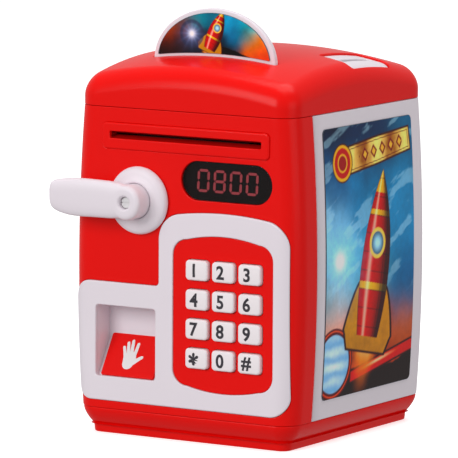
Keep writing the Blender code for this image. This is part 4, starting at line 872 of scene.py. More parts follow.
face, back = FRONT - 14.97, FRONT - 7.2
tip = HANDLE_X - 44.1
top, low = HANDLE_Z + 10.1, HANDLE_Z - 8.7
arm = smooth_run([
    (tip - 0.15, top - 12.2, top - 4.4, face + 1.7, back - 1.8),
    (tip + 0.35, top - 14.2, top - 3.0, face + 0.7, back - 0.8),
    (tip + 1.5, top - 15.7, top - 2.0, face + 0.2, back - 0.3),
    (tip + 3.6, top - 16.9, top - 1.3, face, back),
    (tip + 7.5, top - 18.0, top - 0.7, face, back),
    (tip + 12.5, top - 18.7, top - 0.2, face, back),
    (tip + 18.5, low, top, face, back),
    (tip + 26.0, low + 0.2, top - 0.1, face, back),
    (tip + 35.0, low + 0.3, top - 0.4, face, back),
    (tip + 41.1, low + 1.0, top - 1.2, face + 0.1, back),
    (tip + 45.6, low + 2.2, top - 3.0, face + 0.6, back - 0.3),
    (tip + 48.9, low + 4.4, top - 5.4, face + 1.6, back - 0.8)], 4)
arm_object = plain_mesh("lever_arm", *capped(ovals(arm)))
hub = smooth_run([(0.01, 0.6), (7.0, 0.6), (8.35, 1.6), (8.6, 3.5), (8.6, 6.5), (8.65, 9.5),
                  (8.75, 12.0), (8.3, 13.9), (6.9, 14.9), (4.4, 15.0), (0.01, 15.0)])
hub_points, _, hub_triangles = turned(hub, HANDLE_X, HANDLE_Z)
hub_object = plain_mesh("lever_hub", hub_points, hub_triangles)
bore = [(0.01, 2.0), (2.95, 2.0), (2.95, 5.0), (3.9, 6.1), (3.9, 16.5), (0.01, 16.5)]
bore_points, _, bore_triangles = turned(bore, HANDLE_X, HANDLE_Z, 64, FRONT - 9.0)
bore_object = plain_mesh("screw_recess", bore_points, bore_triangles)
for thing in (arm_object, hub_object, bore_object):
    bpy.context.scene.collection.objects.link(thing)


def applied(thing, *modifiers):
    """The thing's mesh with the given modifiers worked into it."""
    for kind, values in modifiers:
        made = thing.modifiers.new(kind.lower(), kind)
        for key, value in values.items():
            setattr(made, key, value)
    mesh = bpy.data.meshes.new_from_object(thing.evaluated_get(bpy.context.evaluated_depsgraph_get()))
    thing.modifiers.clear()
    thing.data = mesh
    return thing


applied(arm_object, ("BOOLEAN", {"operation": "UNION", "solver": "EXACT", "object": hub_object}))
applied(arm_object, ("REMESH", {"mode": "VOXEL", "voxel_size": 0.45 * MM, "use_smooth_shade": True}),
        ("SMOOTH", {"factor": 0.5, "iterations": 14}))
applied(arm_object, ("BOOLEAN", {"operation": "DIFFERENCE", "solver": "EXACT", "object": bore_object}))
applied(arm_object, ("REMESH", {"mode": "VOXEL", "voxel_size": 0.36 * MM, "use_smooth_shade": True}),
        ("SMOOTH", {"factor": 0.5, "iterations": 3}))
for thing in (hub_object, bore_object):
    bpy.data.objects.remove(thing)
arm_object.name = "lever"
arm_object.data.shade_smooth()
settle(arm_object, white, "handle", ["handle_lever"])

# %% [markdown]
# ## The casing
# The white casing is a wall that runs round three sides, slightly barrel-shaped in height. A
# U-shaped outline, out along the outside and back along the inside, is carried up the height.

# %% Casing
WALL = 2.4
CASING_FRONT = DOOR_BACK + 0.6


def rear_path(z, move_in, front, steps=18):
    """The outline behind the line y = front, from the right side round the back to the left, moved in."""
    half_w, half_d, r = float(half_width(z)) - move_in, HALF_D - move_in, CORNER - move_in
    side = np.linspace(front, half_d - r, 12)[:-1]
    right = arc(half_w - r, half_d - r, r, 0, 90, steps)
    left = arc(-half_w + r, half_d - r, r, 90, 180, steps)
    return np.concatenate([np.stack([np.full(11, half_w), side], 1), right, left,
                           np.stack([np.full(11, -half_w), side[::-1]], 1)])


def rear_wall(low_z, high_z, outside, inside, front, levels=40, edge=0.5):
    """A U-shaped wall: each level's outline is closed by a half round at both front edges, and the top and
    bottom levels are drawn in by the edge's rounding."""
    z = np.linspace(low_z, high_z, levels)
    t = np.linspace(0, np.pi / 2, 4)
    rows = [(low_z + edge * (1 - math.sin(x)), edge * (1 - math.cos(x)), -math.sin(x)) for x in t[::-1]]
    rows += [(v, 0.0, 0.0) for v in z[1:-1]]
    rows += [(high_z - edge * (1 - math.sin(x)), edge * (1 - math.cos(x)), math.sin(x)) for x in t]
    rings, leans = [], []
    for level, draw, up in rows:
        outer = rear_path(level, outside + draw, front + edge)
        inner = rear_path(level, inside - draw, front + edge)
        loop = np.concatenate([outer, inner[::-1]])
        count = len(outer)
        run = np.gradient(outer, axis=0)
        n = np.stack([run[:, 1], -run[:, 0]], 1) / np.linalg.norm(run, axis=1)[:, None]
        n[0], n[-1] = (0.7, -0.7), (-0.7, -0.7)
        m = -n[::-1].copy()
        m[0], m[-1] = (0.7, -0.7), (-0.7, -0.7)
        loop[[0, count - 1, count, -1], 1] -= edge
        flat = np.concatenate([n, m])
        belly = -np.abs(flat[:, 0]) * belly_slope(level) * (1 - abs(up))
        lean = np.column_stack([flat * math.sqrt(max(0.0, 1 - up * up)), belly + up])
        rings.append(np.column_stack([loop, np.full(len(loop), level)]))
        leans.append(lean)
    ring, lean = np.stack(rings), np.stack(leans)
    parts = [(ring.reshape(-1, 3), lean.reshape(-1, 3), strips(len(rows), ring.shape[1]))]
    half = ring.shape[1] // 2
    for row, up in ((0, -1.0), (-1, 1.0)):
        across = np.stack([ring[row, :half], ring[row, half:][::-1]])
        parts.append((across.reshape(-1, 3), np.tile([0, 0, up], (2 * half, 1)),
                      strips(2, half, closed=False)))
    return gather(*parts)


POST_X, POST_Y, POST_R, POST_BORE = 48.5, (-36.0, 50.0), 3.4, 1.6


def ring_round(x, y, radius, sides):
    """A circle of so many corners."""
    return arc(x, y, radius, 0, 360 - 360 / sides, sides - 1)


posts = []
for side in (-1, 1):
    for y in POST_Y:
        post = slab(ring_round(side * POST_X, y, POST_R, 48), [ring_round(side * POST_X, y, POST_BORE, 24)],
                    40.0, 7.4, 0.4, 0.2)
        left, right = sorted((side * (POST_X + POST_R - 0.2), side * (float(half_width(20)) - 1.2)))
        web = slab(rounded(left, y - 1, right, y + 1, 0.2, 2), (), 39.0, 17.8, 0.2)
        posts += [facing_up(post), facing_up(web)]
casing = gather(rear_wall(BASE_TOP + GAP, SEAM - GAP, 0.0, WALL, CASING_FRONT), *posts)
make("casing", casing, white, "bank", ["rear_casing"])

# %% [markdown]
# ## The cap
# The roof is a shallow dome: highest in the middle and falling as the square of the distance
# to each side. A round edge joins it to the upright wall. The wall and the edge are one
# profile carried round the outline; the dome inside it is a sheet with two openings, cut along
# fine lines and lifted onto the dome.

# %% Cap
CREST, SAG_X, SAG_Y, FILLET, SHELL = 189.9, 7.4, 8.4, 9.2, 3.6
CAP_W = float(half_width(SEAM))
COIN = (38.5, -2.0, 57.5, 36.0)     # the coin plate's opening: left, front, right, back
SIGN_X, SIGN_Y, SIGN_T, SIGN_HALF_W = 0.5, FRONT + 28.0, 3.0, 34.75


def roof(x, y):
    """The dome's height: the crest less SAG_X and SAG_Y times the squares of the shares of the way out."""
    return CREST - SAG_X * (x / CAP_W) ** 2 - SAG_Y * (y / HALF_D) ** 2


def roof_normal(x, y):
    """The dome's upward normal, from its slopes."""
    return np.stack([2 * SAG_X * x / CAP_W ** 2, 2 * SAG_Y * y / HALF_D ** 2, np.ones_like(x)], -1)


def bent_edge(x, y, offset, radius):
    """The round edge seen from above. With q the distance in from the outline moved in by offset, the surface
    drops by r - root(r squared - (r - q) squared) while q is less than r. Gives the drop and the lean outwards
    and up."""
    over_x = np.maximum(np.abs(x) - (CAP_W - CORNER), 0)
    over_y = np.maximum(np.abs(y) - (HALF_D - CORNER), 0)
    reach = np.hypot(over_x, over_y)
    share = np.clip((reach - (CORNER - offset - radius)) / radius, 0, 1)
    out = np.stack([np.sign(x) * over_x, np.sign(y) * over_y], -1) / np.maximum(reach, 1e-9)[:, None]
    return radius * (1 - np.sqrt(1 - share ** 2)), out * share[:, None], np.sqrt(1 - share ** 2)


def on_roof(surface):
    """(a, b, height) lifted onto the cap: height 0 is its outside, -SHELL its inside, and between them each point
    keeps its share of the wall."""
    p, n, t = surface
    x, y, h = p.T
    depth = -h / SHELL
    outer_drop, outer_out, outer_up = bent_edge(x, y, 0.0, FILLET)
    inner_drop, inner_out, inner_up = bent_edge(x, y, SHELL, FILLET - SHELL)
    z = roof(x, y) - outer_drop * (1 - depth) - (SHELL + inner_drop) * depth
    share = np.clip(depth, 0, 1)[:, None]
    side = outer_out * (1 - share) + inner_out * share
    level = (outer_up * (1 - share[:, 0]) + inner_up * share[:, 0])[:, None]
    dome = roof_normal(x, y) * level + np.column_stack([side, np.zeros(len(x))])
    lean = dome * n[:, 2:] + np.column_stack([n[:, :2], np.zeros(len(x))])
    return np.column_stack([x, y, z]), lean, t


def cap_outline(move_in):
    """The body's outline under the cap, moved in."""
    return dense(rounded(-CAP_W + move_in, -HALF_D + move_in, CAP_W - move_in, HALF_D - move_in,
                         CORNER - move_in, 20), 2.0)


def carried_up(rows, outline_in=0.0):
    """A profile round the cap. A row is (moved in, rise, lean out, lean up); rise is a height, or, where it is
    below zero, a drop from the dome above the point."""
    base = cap_outline(outline_in)
    step = inward(base)
    unit = step / np.linalg.norm(step, axis=1)[:, None]
    rings, leans = [], []
    for d, rise, side, up in rows:
        loop = base + step * (d - outline_in)
        level = np.where(rise > 0, rise, roof(loop[:, 0], loop[:, 1]) + rise)
        rings.append(np.column_stack([loop, level]))
        leans.append(np.column_stack([-unit * side, np.zeros(len(loop))]) + roof_normal(*loop.T) * up)
    ring = np.stack(rings)
    return ring.reshape(-1, 3), np.stack(leans).reshape(-1, 3), strips(len(rows), ring.shape[1])


def round_edge(start, radius, reach, side, steps):
    """Rows of a round edge that begins moved in by start and goes in as far as reach; side is 1 outside the
    wall and -1 inside it."""
    last = math.acos(1 - (reach - start) / radius)
    return [(start + radius * (1 - math.cos(t)), -start - radius * (1 - math.sin(t)), side * math.cos(t),
             side * math.sin(t)) for t in np.linspace(0, last, steps)]


WALL_IN, LINING_IN = 2.0, SHELL + 0.1      # where the walls meet the pierced sheet, outside and inside
LOW_R = 0.4
lowest = SEAM - FINE
outer_rows = [(LOW_R * (1 - math.sin(t)), lowest + LOW_R * (1 - math.cos(t)), math.sin(t), -math.cos(t))
              for t in np.linspace(0, np.pi / 2, 4)]
outer_rows += round_edge(0.0, FILLET, WALL_IN, 1, 8)
inner_rows = [(SHELL, lowest, -1.0, 0.0)] + round_edge(SHELL, FILLET - SHELL, LINING_IN, -1, 4)
under = [(LOW_R, lowest, 0.0, -1.0), (SHELL, lowest, 0.0, -1.0)]
sign_hole = rounded(SIGN_X - SIGN_HALF_W - GAP, SIGN_Y - GAP,
                    SIGN_X + SIGN_HALF_W + GAP, SIGN_Y + SIGN_T + GAP, 0.3, 2)
outline, step_in = cap_outline(0.0), inward(cap_outline(0.0))
sheet = slab(outline + step_in * WALL_IN, [dense(rounded(*COIN, 2.2), 1.5), dense(sign_hole, 1.5)],
             0.0, -SHELL, 0.0, 0.7, rim=False, back_outer=outline + step_in * LINING_IN)


def edge_lines(half):
    """Lines every 3 mm over the dome, and closer and closer over the round edge towards the wall."""
    near = half - FILLET * (1 - np.cos(np.linspace(math.acos(1 - WALL_IN / FILLET), np.pi / 2, 11)))
    return np.concatenate([np.arange(-51, 52, 3.0), near, -near])


dome = on_roof(cut_lines(sheet, edge_lines(CAP_W), edge_lines(HALF_D)))
RIM_FRONT, RIM_WALL = -36.0, 1.5            # the rims that the casing fits round, above and below
rim_inside = rear_wall(SEAM - 4.0, SEAM + 3.0, WALL + GAP, WALL + GAP + RIM_WALL, RIM_FRONT, 6, 0.3)
make("cap", gather(carried_up(outer_rows), carried_up(inner_rows), carried_up(under), dome, rim_inside), red,
     "bank", ["top_cap"])

# %% Coin plate
COIN_SLOT_W, COIN_SLOT_L = 3.5, 27.0
coin_slot = dense(centred((COIN[0] + COIN[2]) / 2, (COIN[1] + COIN[3]) / 2, COIN_SLOT_W, COIN_SLOT_L, 1.2),
                  1.5)
coin = slab(dense(rounded(COIN[0] + GAP, COIN[1] + GAP, COIN[2] - GAP, COIN[3] - GAP, 1.9), 1.5), [coin_slot],
            -1.1, -4.4, 0.3, 0.7)
coin_flange = slab(dense(rounded(COIN[0] - 2.5, COIN[1] - 2.5, COIN[2] - 0.6, COIN[3] + 2.5, 2.0), 1.5),
                   [coin_slot], -3.9, -6.0, 0.2, 0.2)
coin_sheet = cut_lines(gather(coin, coin_flange), np.arange(36, 60, 1.5), np.arange(-6, 40, 3.0))
make("coin_plate", on_roof(coin_sheet), white, "bank", ["coin_slot_plate"])

# %% [markdown]
# ## The base
# The base flares out from the ring that it stands on: its inset falls from 4.8 to a third of a
# millimetre, fast at first and then slowly. It holds the floor of the money box and the
# battery box.

# %% Base
flare = [(0.35 + 4.0 * (1 - s) ** 1.6, 5.2 + 7.3 * s) for s in np.linspace(0, 1, 14)]
base_w = float(half_width(BASE_TOP))
outside = dense(rounded(-base_w, -HALF_D, base_w, HALF_D, CORNER, 20), 2.0)
step = inward(outside)
unit = step / np.linalg.norm(step, axis=1)[:, None]


def base_wall(rows):
    """A profile of (moved in, height) round the base. The normal is a quarter turn from the profile's run;
    the two sides of a sharp corner are separate runs."""
    rows = np.array(rows, float)
    run = np.gradient(rows, axis=0)
    run /= np.linalg.norm(run, axis=1)[:, None]
    ring = np.stack([np.column_stack([outside + step * d, np.full(len(outside), h)]) for d, h in rows])
    lean = np.stack([np.column_stack([-unit * up, np.full(len(outside), side)]) for side, up in run])
    return ring.reshape(-1, 3), lean.reshape(-1, 3), strips(len(rows), len(outside))


FOOT_OUT, FOOT_IN, TRAY_IN = 6.4, 10.0, 3.95     # insets of the foot's ring and of the tray's inner wall
TRAY_LOW, TRAY_HIGH, BOX_HIGH = 4.2, 7.0, 20.5
rim_top = BASE_TOP + FINE
foot = smooth_run([(FOOT_OUT, 0.0), (5.85, 0.4), (5.6, 1.8), (5.45, 3.2), (5.15, 4.2), (4.75, 4.8),
                   flare[0]], 4)
outer = np.concatenate([foot[:-1], flare, [(0.40, BASE_TOP - 0.1), (0.6, rim_top)]])
runs = [base_wall(rows) for rows in ([(FOOT_IN, 0.0), (FOOT_OUT, 0.0)], outer,
                                     [(0.6, rim_top), (TRAY_IN, rim_top)],
                                     [(TRAY_IN, rim_top), (TRAY_IN, TRAY_HIGH)],
                                     [(FOOT_IN, TRAY_LOW), (FOOT_IN, 0.0)])]
battery_box = rounded(-28.0, -8.0, 28.0, 53.0, 1.0)
battery_hole = rounded(-26.0, -6.0, 26.0, 51.0, 0.5)
solids = [slab(outside + step * TRAY_IN, [battery_hole], TRAY_HIGH, TRAY_LOW, 0.0, 0.0, rim=False),
          slab(battery_box, [battery_hole], BOX_HIGH, TRAY_LOW, 0.0, 0.0),
          slab(battery_box, (), BOX_HIGH + 2.0, BOX_HIGH, 0.8),
          slab(ring_round(0, 54.5, POST_R, 48), (), 19.5, 5.0, 0.4)]
rim_up = rear_wall(9.0, 17.0, WALL + GAP, WALL + GAP + RIM_WALL, RIM_FRONT, 8, 0.3)
make("base", gather(*runs, *[facing_up(solid) for solid in solids], rim_up), red, "bank", ["base_tray"])

# %% [markdown]
# ## The sign and its print
# The half-round sign stands in the roof. Its picture, and the one on the casing's sides, is a
# made-up space scene: a red and gold rocket over a hazy sky, with a planet and a glow at the
# tail. Each picture is a formula over its grid, built up in layers as a poster is painted.

# %% Sign plate
def half_oval(half_w, rise, low_z, steps=60):
    """Half an ellipse over the roof, cut off at low_z or carried straight down to it."""
    start = math.asin(max(0.0, (low_z - SIGN_BASE) / rise))
    t = np.linspace(start, np.pi - start, steps)
    curve = np.stack([SIGN_X + half_w * np.cos(t), SIGN_BASE + rise * np.sin(t)], 1)
    if low_z < SIGN_BASE:
        curve = np.concatenate([[[SIGN_X - half_w, low_z], [SIGN_X + half_w, low_z]], curve])
    return curve


SIGN_BASE, SIGN_RISE, SIGN_BORDER = 184.0, 26.7, 2.5
sign_outline = dense(half_oval(SIGN_HALF_W, SIGN_RISE - 0.4, 178.0), 2.0)
sign_board = slab(sign_outline, (), 0.0, -SIGN_T, 0.7, back_edge=0.7)
make("sign_board", facing_front(sign_board, SIGN_Y), white, "bank", ["sign_plate"])

# %% Tools for painting
def punchy(picture, contrast=1.25, colour=1.22):
    """A poster's strong inks: a colour moved away from its own grey by a factor, then raised to a power."""
    grey = picture.mean(1, keepdims=True)
    return np.clip(grey + (picture - grey) * colour, 0, None) ** contrast


def linear(*tone):
    """A colour as seen on a screen, 0 to 255, turned into light: the share to the power 2.2."""
    return (np.array(tone, float) / 255) ** 2.2


def cloud(u, v, size, seed, layers=4):
    """Soft noise between 0 and 1: values at the corners of a lattice, blended smoothly across each cell, with
    finer and weaker layers added."""
    rng, total, weight = np.random.default_rng(seed), np.zeros_like(u), 0.0
    for k in range(layers):
        cell = size / 2 ** k
        x, y = u / cell + 50, v / cell + 50
        i, j = np.floor(x).astype(int), np.floor(y).astype(int)
        fx, fy = x - i, y - j
        fx, fy = fx * fx * (3 - 2 * fx), fy * fy * (3 - 2 * fy)
        value = rng.random((640, 640))
        a = value[i % 640, j % 640] * (1 - fx) + value[(i + 1) % 640, j % 640] * fx
        b = value[i % 640, (j + 1) % 640] * (1 - fx) + value[(i + 1) % 640, (j + 1) % 640] * fx
        total += (a * (1 - fy) + b * fy) / 2 ** k
        weight += 1 / 2 ** k
    return total / weight


def wash(u, v, spots, width):
    """Colours that run into each other: the mean of the spots' colours, each weighted by a bell of its
    distance."""
    weight = np.stack([np.exp(-((u - x) ** 2 + (v - y) ** 2) / (2 * width ** 2)) + 1e-6 for x, y, _ in spots])
    colour = np.stack([tone for _, _, tone in spots])
    return (weight[:, :, None] * colour[:, None, :]).sum(0) / weight.sum(0)[:, None]


def rocket(picture, u, v, tail, nose, radius, blur):
    """Paints a rocket from tail to nose: a pointed body shaded across as a cylinder is, gold bands and tip, a
    round window, swept fins and a flame. Its radius at a share q of its length swells and then closes to a
    point."""
    tail, nose = np.array(tail, float), np.array(nose, float)
    length = np.linalg.norm(nose - tail)
    along = (nose - tail) / length
    q = ((u - tail[0]) * along[0] + (v - tail[1]) * along[1]) / length
    p = (u - tail[0]) * along[1] - (v - tail[1]) * along[0]
    flame_out = radius * (0.75 - 0.5 * np.clip(-q / 0.34, 0, 1)) * (0.8 + 0.4 * cloud(u, v, 6, 11))
    flame = soft(np.abs(p) - flame_out, radius * 0.7) * soft(q, 0.02) * np.clip(1 + q / 0.36, 0, 1)
    picture = paint(picture, linear(255, 150, 40), flame)
    picture = paint(picture, linear(255, 245, 200), flame ** 2 * np.clip(1 + q / 0.2, 0, 1))
    shape = radius * np.where(q > 0.35, 1 - np.clip((q - 0.35) / 0.65, 0, 1) ** 2.2,
                              0.74 + 0.26 * np.sin(np.pi * np.clip(q, 0, 0.35) / 0.7))
    fin_out = shape + radius * 1.05 * np.clip(1 - np.abs(q - 0.02) / 0.30, 0, 1) ** 0.8
    fin = soft(np.abs(p) - fin_out, blur) * soft(-0.10 - q, 0.01) * soft(q - 0.34, 0.01)
    picture = paint(picture, linear(60, 8, 8), fin)
    gold_fin = soft(np.abs(p) - fin_out + 0.14 * radius, blur) * soft(-0.085 - q, 0.01) * soft(q - 0.32, 0.01)
    picture = paint(picture, linear(205, 150, 55), gold_fin * np.clip(0.55 + 0.45 * cloud(u, v, 8, 3), 0, 1))
    body_in = soft(np.abs(p) - shape, blur) * soft(-q, 0.006) * soft(q - 1, 0.006)
    turn = np.clip(p / np.maximum(shape, 0.1), -1, 1)
    light = np.clip(0.95 - 0.75 * (turn + 0.35) ** 2, 0.10, 1.0)
    gold = (q > 0.86) | (np.abs(q - 0.30) < 0.022) | (np.abs(q - 0.74) < 0.016)
    tone = np.where(gold[:, None], linear(232, 180, 70), linear(196, 28, 24))
    tone = tone * light[:, None]
    seams = soft(np.abs((q * 9.0) % 1.0 - 0.5) - 0.03, 0.06) + soft(np.abs(np.abs(turn) - 0.52) - 0.02, 0.05)
    tone = tone * (1 - 0.55 * np.clip(seams, 0, 1))[:, None]
    shine = np.exp(-((turn + 0.42) / 0.13) ** 2) * 0.55
    tone = tone + shine[:, None] * np.array([1.0, 0.75, 0.6])
    picture = paint(picture, tone, body_in)
    edge = soft(np.abs(np.abs(p) - shape) - 0.25 * blur, blur) * soft(-q, 0.006) * soft(q - 1, 0.006)
    picture = paint(picture, linear(40, 8, 8), 0.7 * edge)
    centre = tail + along * length * 0.56
    d = np.hypot(u - centre[0], v - centre[1])
    picture = paint(picture, linear(236, 190, 90), soft(d - radius * 0.56, blur))
    picture = paint(picture, linear(20, 50, 80), soft(d - radius * 0.42, blur))
    return paint(picture, linear(190, 235, 255), np.exp(-(d / (radius * 0.3)) ** 2))


# %% The side picture
LABEL_Y, LABEL_Z = (-37.3, 47.7), (22.5, 154.8)
label_w, label_h = LABEL_Y[1] - LABEL_Y[0], LABEL_Z[1] - LABEL_Z[0]
SKY = [(4, 128, linear(16, 26, 52)), (40, 130, linear(26, 58, 92)), (82, 126, linear(46, 104, 134)),
       (10, 100, linear(40, 92, 132)), (10, 76, linear(170, 218, 245)), (42, 92, linear(52, 120, 156)),
       (80, 84, linear(66, 131, 167)), (82, 52, linear(36, 105, 145)), (38, 60, linear(96, 160, 186)),
       (4, 50, linear(150, 190, 200)), (8, 32, linear(233, 140, 98)), (44, 26, linear(150, 52, 30)),
       (80, 24, linear(176, 97, 54)), (40, 4, linear(66, 14, 12)), (82, 4, linear(122, 26, 18)),
       (4, 8, linear(96, 20, 16))]


def side_picture(u, v):
    """The space poster over (u, v) from its lower left corner: sky, ground glow, planet, launching beam,
    rocket, star, and a plaque of diamonds with a disc at its end."""
    haze = cloud(u, v, 26, 5)
    picture = wash(u + 16 * (haze - 0.5), v + 22 * (cloud(u, v, 30, 6) - 0.5), SKY, 12.0)
    picture = picture * (0.55 + 0.9 * haze)[:, None]
    streaks = cloud(u * 0.5 + v * 0.2, v * 1.6 - u * 0.7, 9, 8)
    picture = paint(picture, linear(200, 232, 245), 0.28 * soft(0.62 - streaks, 0.12) * soft(52 - v, 20))
    ground = 9 + 5 * cloud(u, 0 * v, 14, 21) + 0.10 * (u - 42) ** 2 / 42
    picture = paint(picture, linear(255, 120, 40), 0.55 * soft(np.abs(v - ground) - 1.5, 9))
    picture = paint(picture, linear(38, 8, 10), soft(v - ground, 1.4))
    d = np.hypot(u - 9, v - 17)
    planet = np.clip(0.5 + 0.5 * (d < 0) + 0.35 * np.cos((v - 17 + 3 * cloud(u, v, 10, 4)) * 0.8), 0, 1)
    picture = paint(picture, linear(96, 14, 12), soft(d - 17.6, 0.7))
    picture = paint(picture, linear(214, 96, 60), soft(np.abs(d - 16.2) - 0.35, 0.6))
    picture = paint(picture, linear(128, 172, 206), soft(d - 14.4, 0.7))
    planet = soft(d - 14.4, 0.7) * planet * np.clip(1.15 - d / 17, 0, 1)
    picture = paint(picture, linear(226, 240, 250), planet)
    pad_line = v - 8.5 - 0.16 * (u - 25)
    pad = soft(np.abs(pad_line) - 3.6, 0.8) * soft(26 - u, 1.5)
    picture = paint(picture, linear(60, 8, 8), pad)
    picture = paint(picture, linear(190, 40, 26), pad * soft(np.abs(pad_line) - 2.5, 0.8))
    glint = np.exp(-((pad_line - 1.1) / 0.8) ** 2 - ((u - 52) / 12) ** 2)
    picture = paint(picture, linear(255, 196, 160), pad * glint)
    picture = rocket(picture, u, v, (40, 27), (56, 108), 13.6, 0.6)
    star = np.hypot(u - 13, v - 67)
    rays = 0.5 + 0.5 * np.cos(8 * np.arctan2(v - 67, u - 13)) ** 6
    picture = paint(picture, linear(150, 215, 255), np.clip(np.exp(-star / 9.5) * (0.55 + 0.75 * rays), 0, 1))
    picture = paint(picture, linear(255, 255, 255), np.exp(-(star / 4.6) ** 2))
    along, across = (u - 20) * 0.995 + (v - 115) * 0.10, (v - 115) * 0.995 - (u - 20) * 0.10
    bar_out = np.maximum(np.abs(along - 30) - 32, np.abs(across) - 6.2 + 0.03 * np.clip(along - 30, 0, 99))
    picture = paint(picture, linear(70, 22, 10), soft(bar_out - 1.0, 0.7))
    sheen = np.clip(0.5 + 0.5 * np.sin(along * 0.23 + 0.8) + 0.5 * (cloud(u, v, 4, 41) - 0.5), 0, 1)
    plaque = paint(linear(150, 96, 44), linear(246, 214, 140), sheen)
    picture = paint(picture, plaque, soft(bar_out, 0.7))
    picture = paint(picture, linear(110, 52, 20), soft(np.abs(bar_out + 1.1) - 0.22, 0.4))
    gem = np.abs((along + 2.0) % 8.4 - 4.2) * 0.85 + np.abs(across) * 0.75
    row = soft(np.abs(along - 34) - 21.0, 0.5)
    picture = paint(picture, linear(120, 30, 18), soft(gem - 2.7, 0.5) * row)
    picture = paint(picture, linear(236, 176, 96), soft(gem - 1.5, 0.6) * row)
    disc = np.hypot(u - 17, v - 114.5)
    for reach, tone in ((9.6, (70, 22, 10)), (8.9, (222, 170, 78)), (7.4, (176, 26, 20)),
                        (4.6, (226, 176, 90)), (3.7, (150, 20, 16))):
        picture = paint(picture, linear(*tone), soft(disc - reach, 0.6))
    grain = cloud(u, v, 1.6, 17, 2)
    return punchy(picture) * (1.35 + 0.3 * grain)[:, None]


LABEL_R = 2.5
BORDER = 0.2            # the film shows this far round the picture
label_edge = finish("label edge", (0.05, 0.07, 0.10), (0.07, 0.09, 0.12), (0.3, 0.4))
corner_y, corner_z = label_w / 2 - BORDER - LABEL_R, label_h / 2 - BORDER - LABEL_R


def inside_label(a, b):
    """Whether points are inside the picture's rounded rectangle."""
    over_a = np.maximum(np.abs(a - sum(LABEL_Y) / 2) - corner_y, 0)
    over_b = np.maximum(np.abs(b - sum(LABEL_Z) / 2) - corner_z, 0)
    return np.hypot(over_a, over_b) < LABEL_R


for side, name in ((1, "side_label_right"), (-1, "side_label_left")):
    def on_side(surface, side=side):
        """(a, b, height) becomes (y, z) on the barrel-shaped side, with height counted outwards from it."""
        p, n, t = surface
        x = side * (half_width(p[:, 1]) + 0.12 + p[:, 2])
        lean = np.stack([side * n[:, 2], n[:, 0], n[:, 1] - n[:, 2] * belly_slope(p[:, 1])], 1)
        return np.stack([x, p[:, 0], p[:, 1]], 1), lean, t

    def picture_here(a, b, side=side):
        """The poster, starting from whichever edge is on the left when seen from that side."""
        return side_picture(a - LABEL_Y[0] if side > 0 else LABEL_Y[1] - a, b - LABEL_Z[0])

    label_film = slab(dense(rounded(LABEL_Y[0], LABEL_Z[0], LABEL_Y[1], LABEL_Z[1], LABEL_R)), (),
                      0.36, 0.0, 0.1)
    make(name + "_film", on_side(cut_lines(label_film, (), np.arange(24, 154, 4.0))), label_edge, "bank",
         [name])
    printed(name + "_print", (LABEL_Y[0] + BORDER, LABEL_Y[1] - BORDER),
            (LABEL_Z[0] + BORDER, LABEL_Z[1] - BORDER), 0.45, picture_here, on_side, "bank", inside_label,
            lift=0.385)

# %% The sign's picture
SIGN_SKY = [(-30, 2, linear(30, 14, 12)), (-27, 10, linear(150, 66, 36)), (-22, 5, linear(34, 18, 16)),
            (-20, 16, linear(96, 60, 44)), (-12, 22, linear(60, 130, 140)), (-8, 5, linear(26, 20, 22)),
            (0, 22, linear(30, 110, 130)), (2, 4, linear(20, 12, 12)), (10, 18, linear(30, 150, 185)),
            (13, 9, linear(20, 110, 150)), (21, 15, linear(60, 170, 185)), (21, 8, linear(120, 140, 110)),
            (28, 6, linear(230, 130, 50)), (22, 1, linear(205, 90, 30)), (12, 1, linear(40, 20, 16)),
            (30, 1, linear(190, 70, 30))]


def sign_picture(x, z):
    """The sign's half-round poster: dark ground and a glow on the left, a star's glare, the rocket standing in
    the middle and a bright sky on the right."""
    u, v = x - SIGN_X, z - 188.0
    picture = wash(u + 4 * (cloud(u, v, 9, 31) - 0.5), v + 4 * (cloud(u, v, 9, 32) - 0.5), SIGN_SKY, 4.0)
    picture = picture * (0.55 + 0.9 * cloud(u, v, 6, 33))[:, None]
    hills = 3.2 + 1.8 * cloud(u, 0 * v, 7, 35) - 0.012 * u ** 2
    picture = paint(picture, linear(16, 9, 10), soft(v - hills, 0.8))
    picture = rocket(picture, u, v, (-2.5, 2.2), (5.5, 21.2), 4.3, 0.4)
    star = np.hypot(u + 12.5, v - 9.5)
    rays = 0.5 + 0.5 * np.cos(6 * np.arctan2(v - 9.5, u + 12.5)) ** 4
    picture = paint(picture, linear(28, 20, 34), 0.75 * soft(np.abs(star - 6.0) - 0.9, 0.9))
    picture = paint(picture, linear(150, 170, 225), np.clip(np.exp(-star / 2.6) * (0.55 + 0.8 * rays), 0, 1))
    picture = paint(picture, linear(250, 252, 255), np.exp(-(star / 1.9) ** 2))
    return punchy(picture, 1.1, 1.3) * 1.2


def sign_film_outline(clear):
    """The picture's outline: the oval above, and below a line that follows the dome a little way up."""
    t = np.linspace(0.03, np.pi - 0.03, 70)
    curve = np.stack([SIGN_X + (SIGN_HALF_W - SIGN_BORDER) * np.cos(t),
                      SIGN_BASE + (SIGN_RISE - SIGN_BORDER) * np.sin(t)], 1)
    curve = curve[curve[:, 1] > roof(curve[:, 0], SIGN_Y) + clear]
    low_x = np.linspace(curve[-1, 0] + 0.6, curve[0, 0] - 0.6, 40)
    return np.concatenate([curve, np.stack([low_x, roof(low_x, SIGN_Y) + clear], 1)])


def inside_sign(a, b):
    """Whether points are inside the picture's half oval and above the dome."""
    return (((a - SIGN_X) / 32.05) ** 2 + ((b - SIGN_BASE) / 24.0) ** 2 < 1) & (b > roof(a, SIGN_Y) + 1.25)


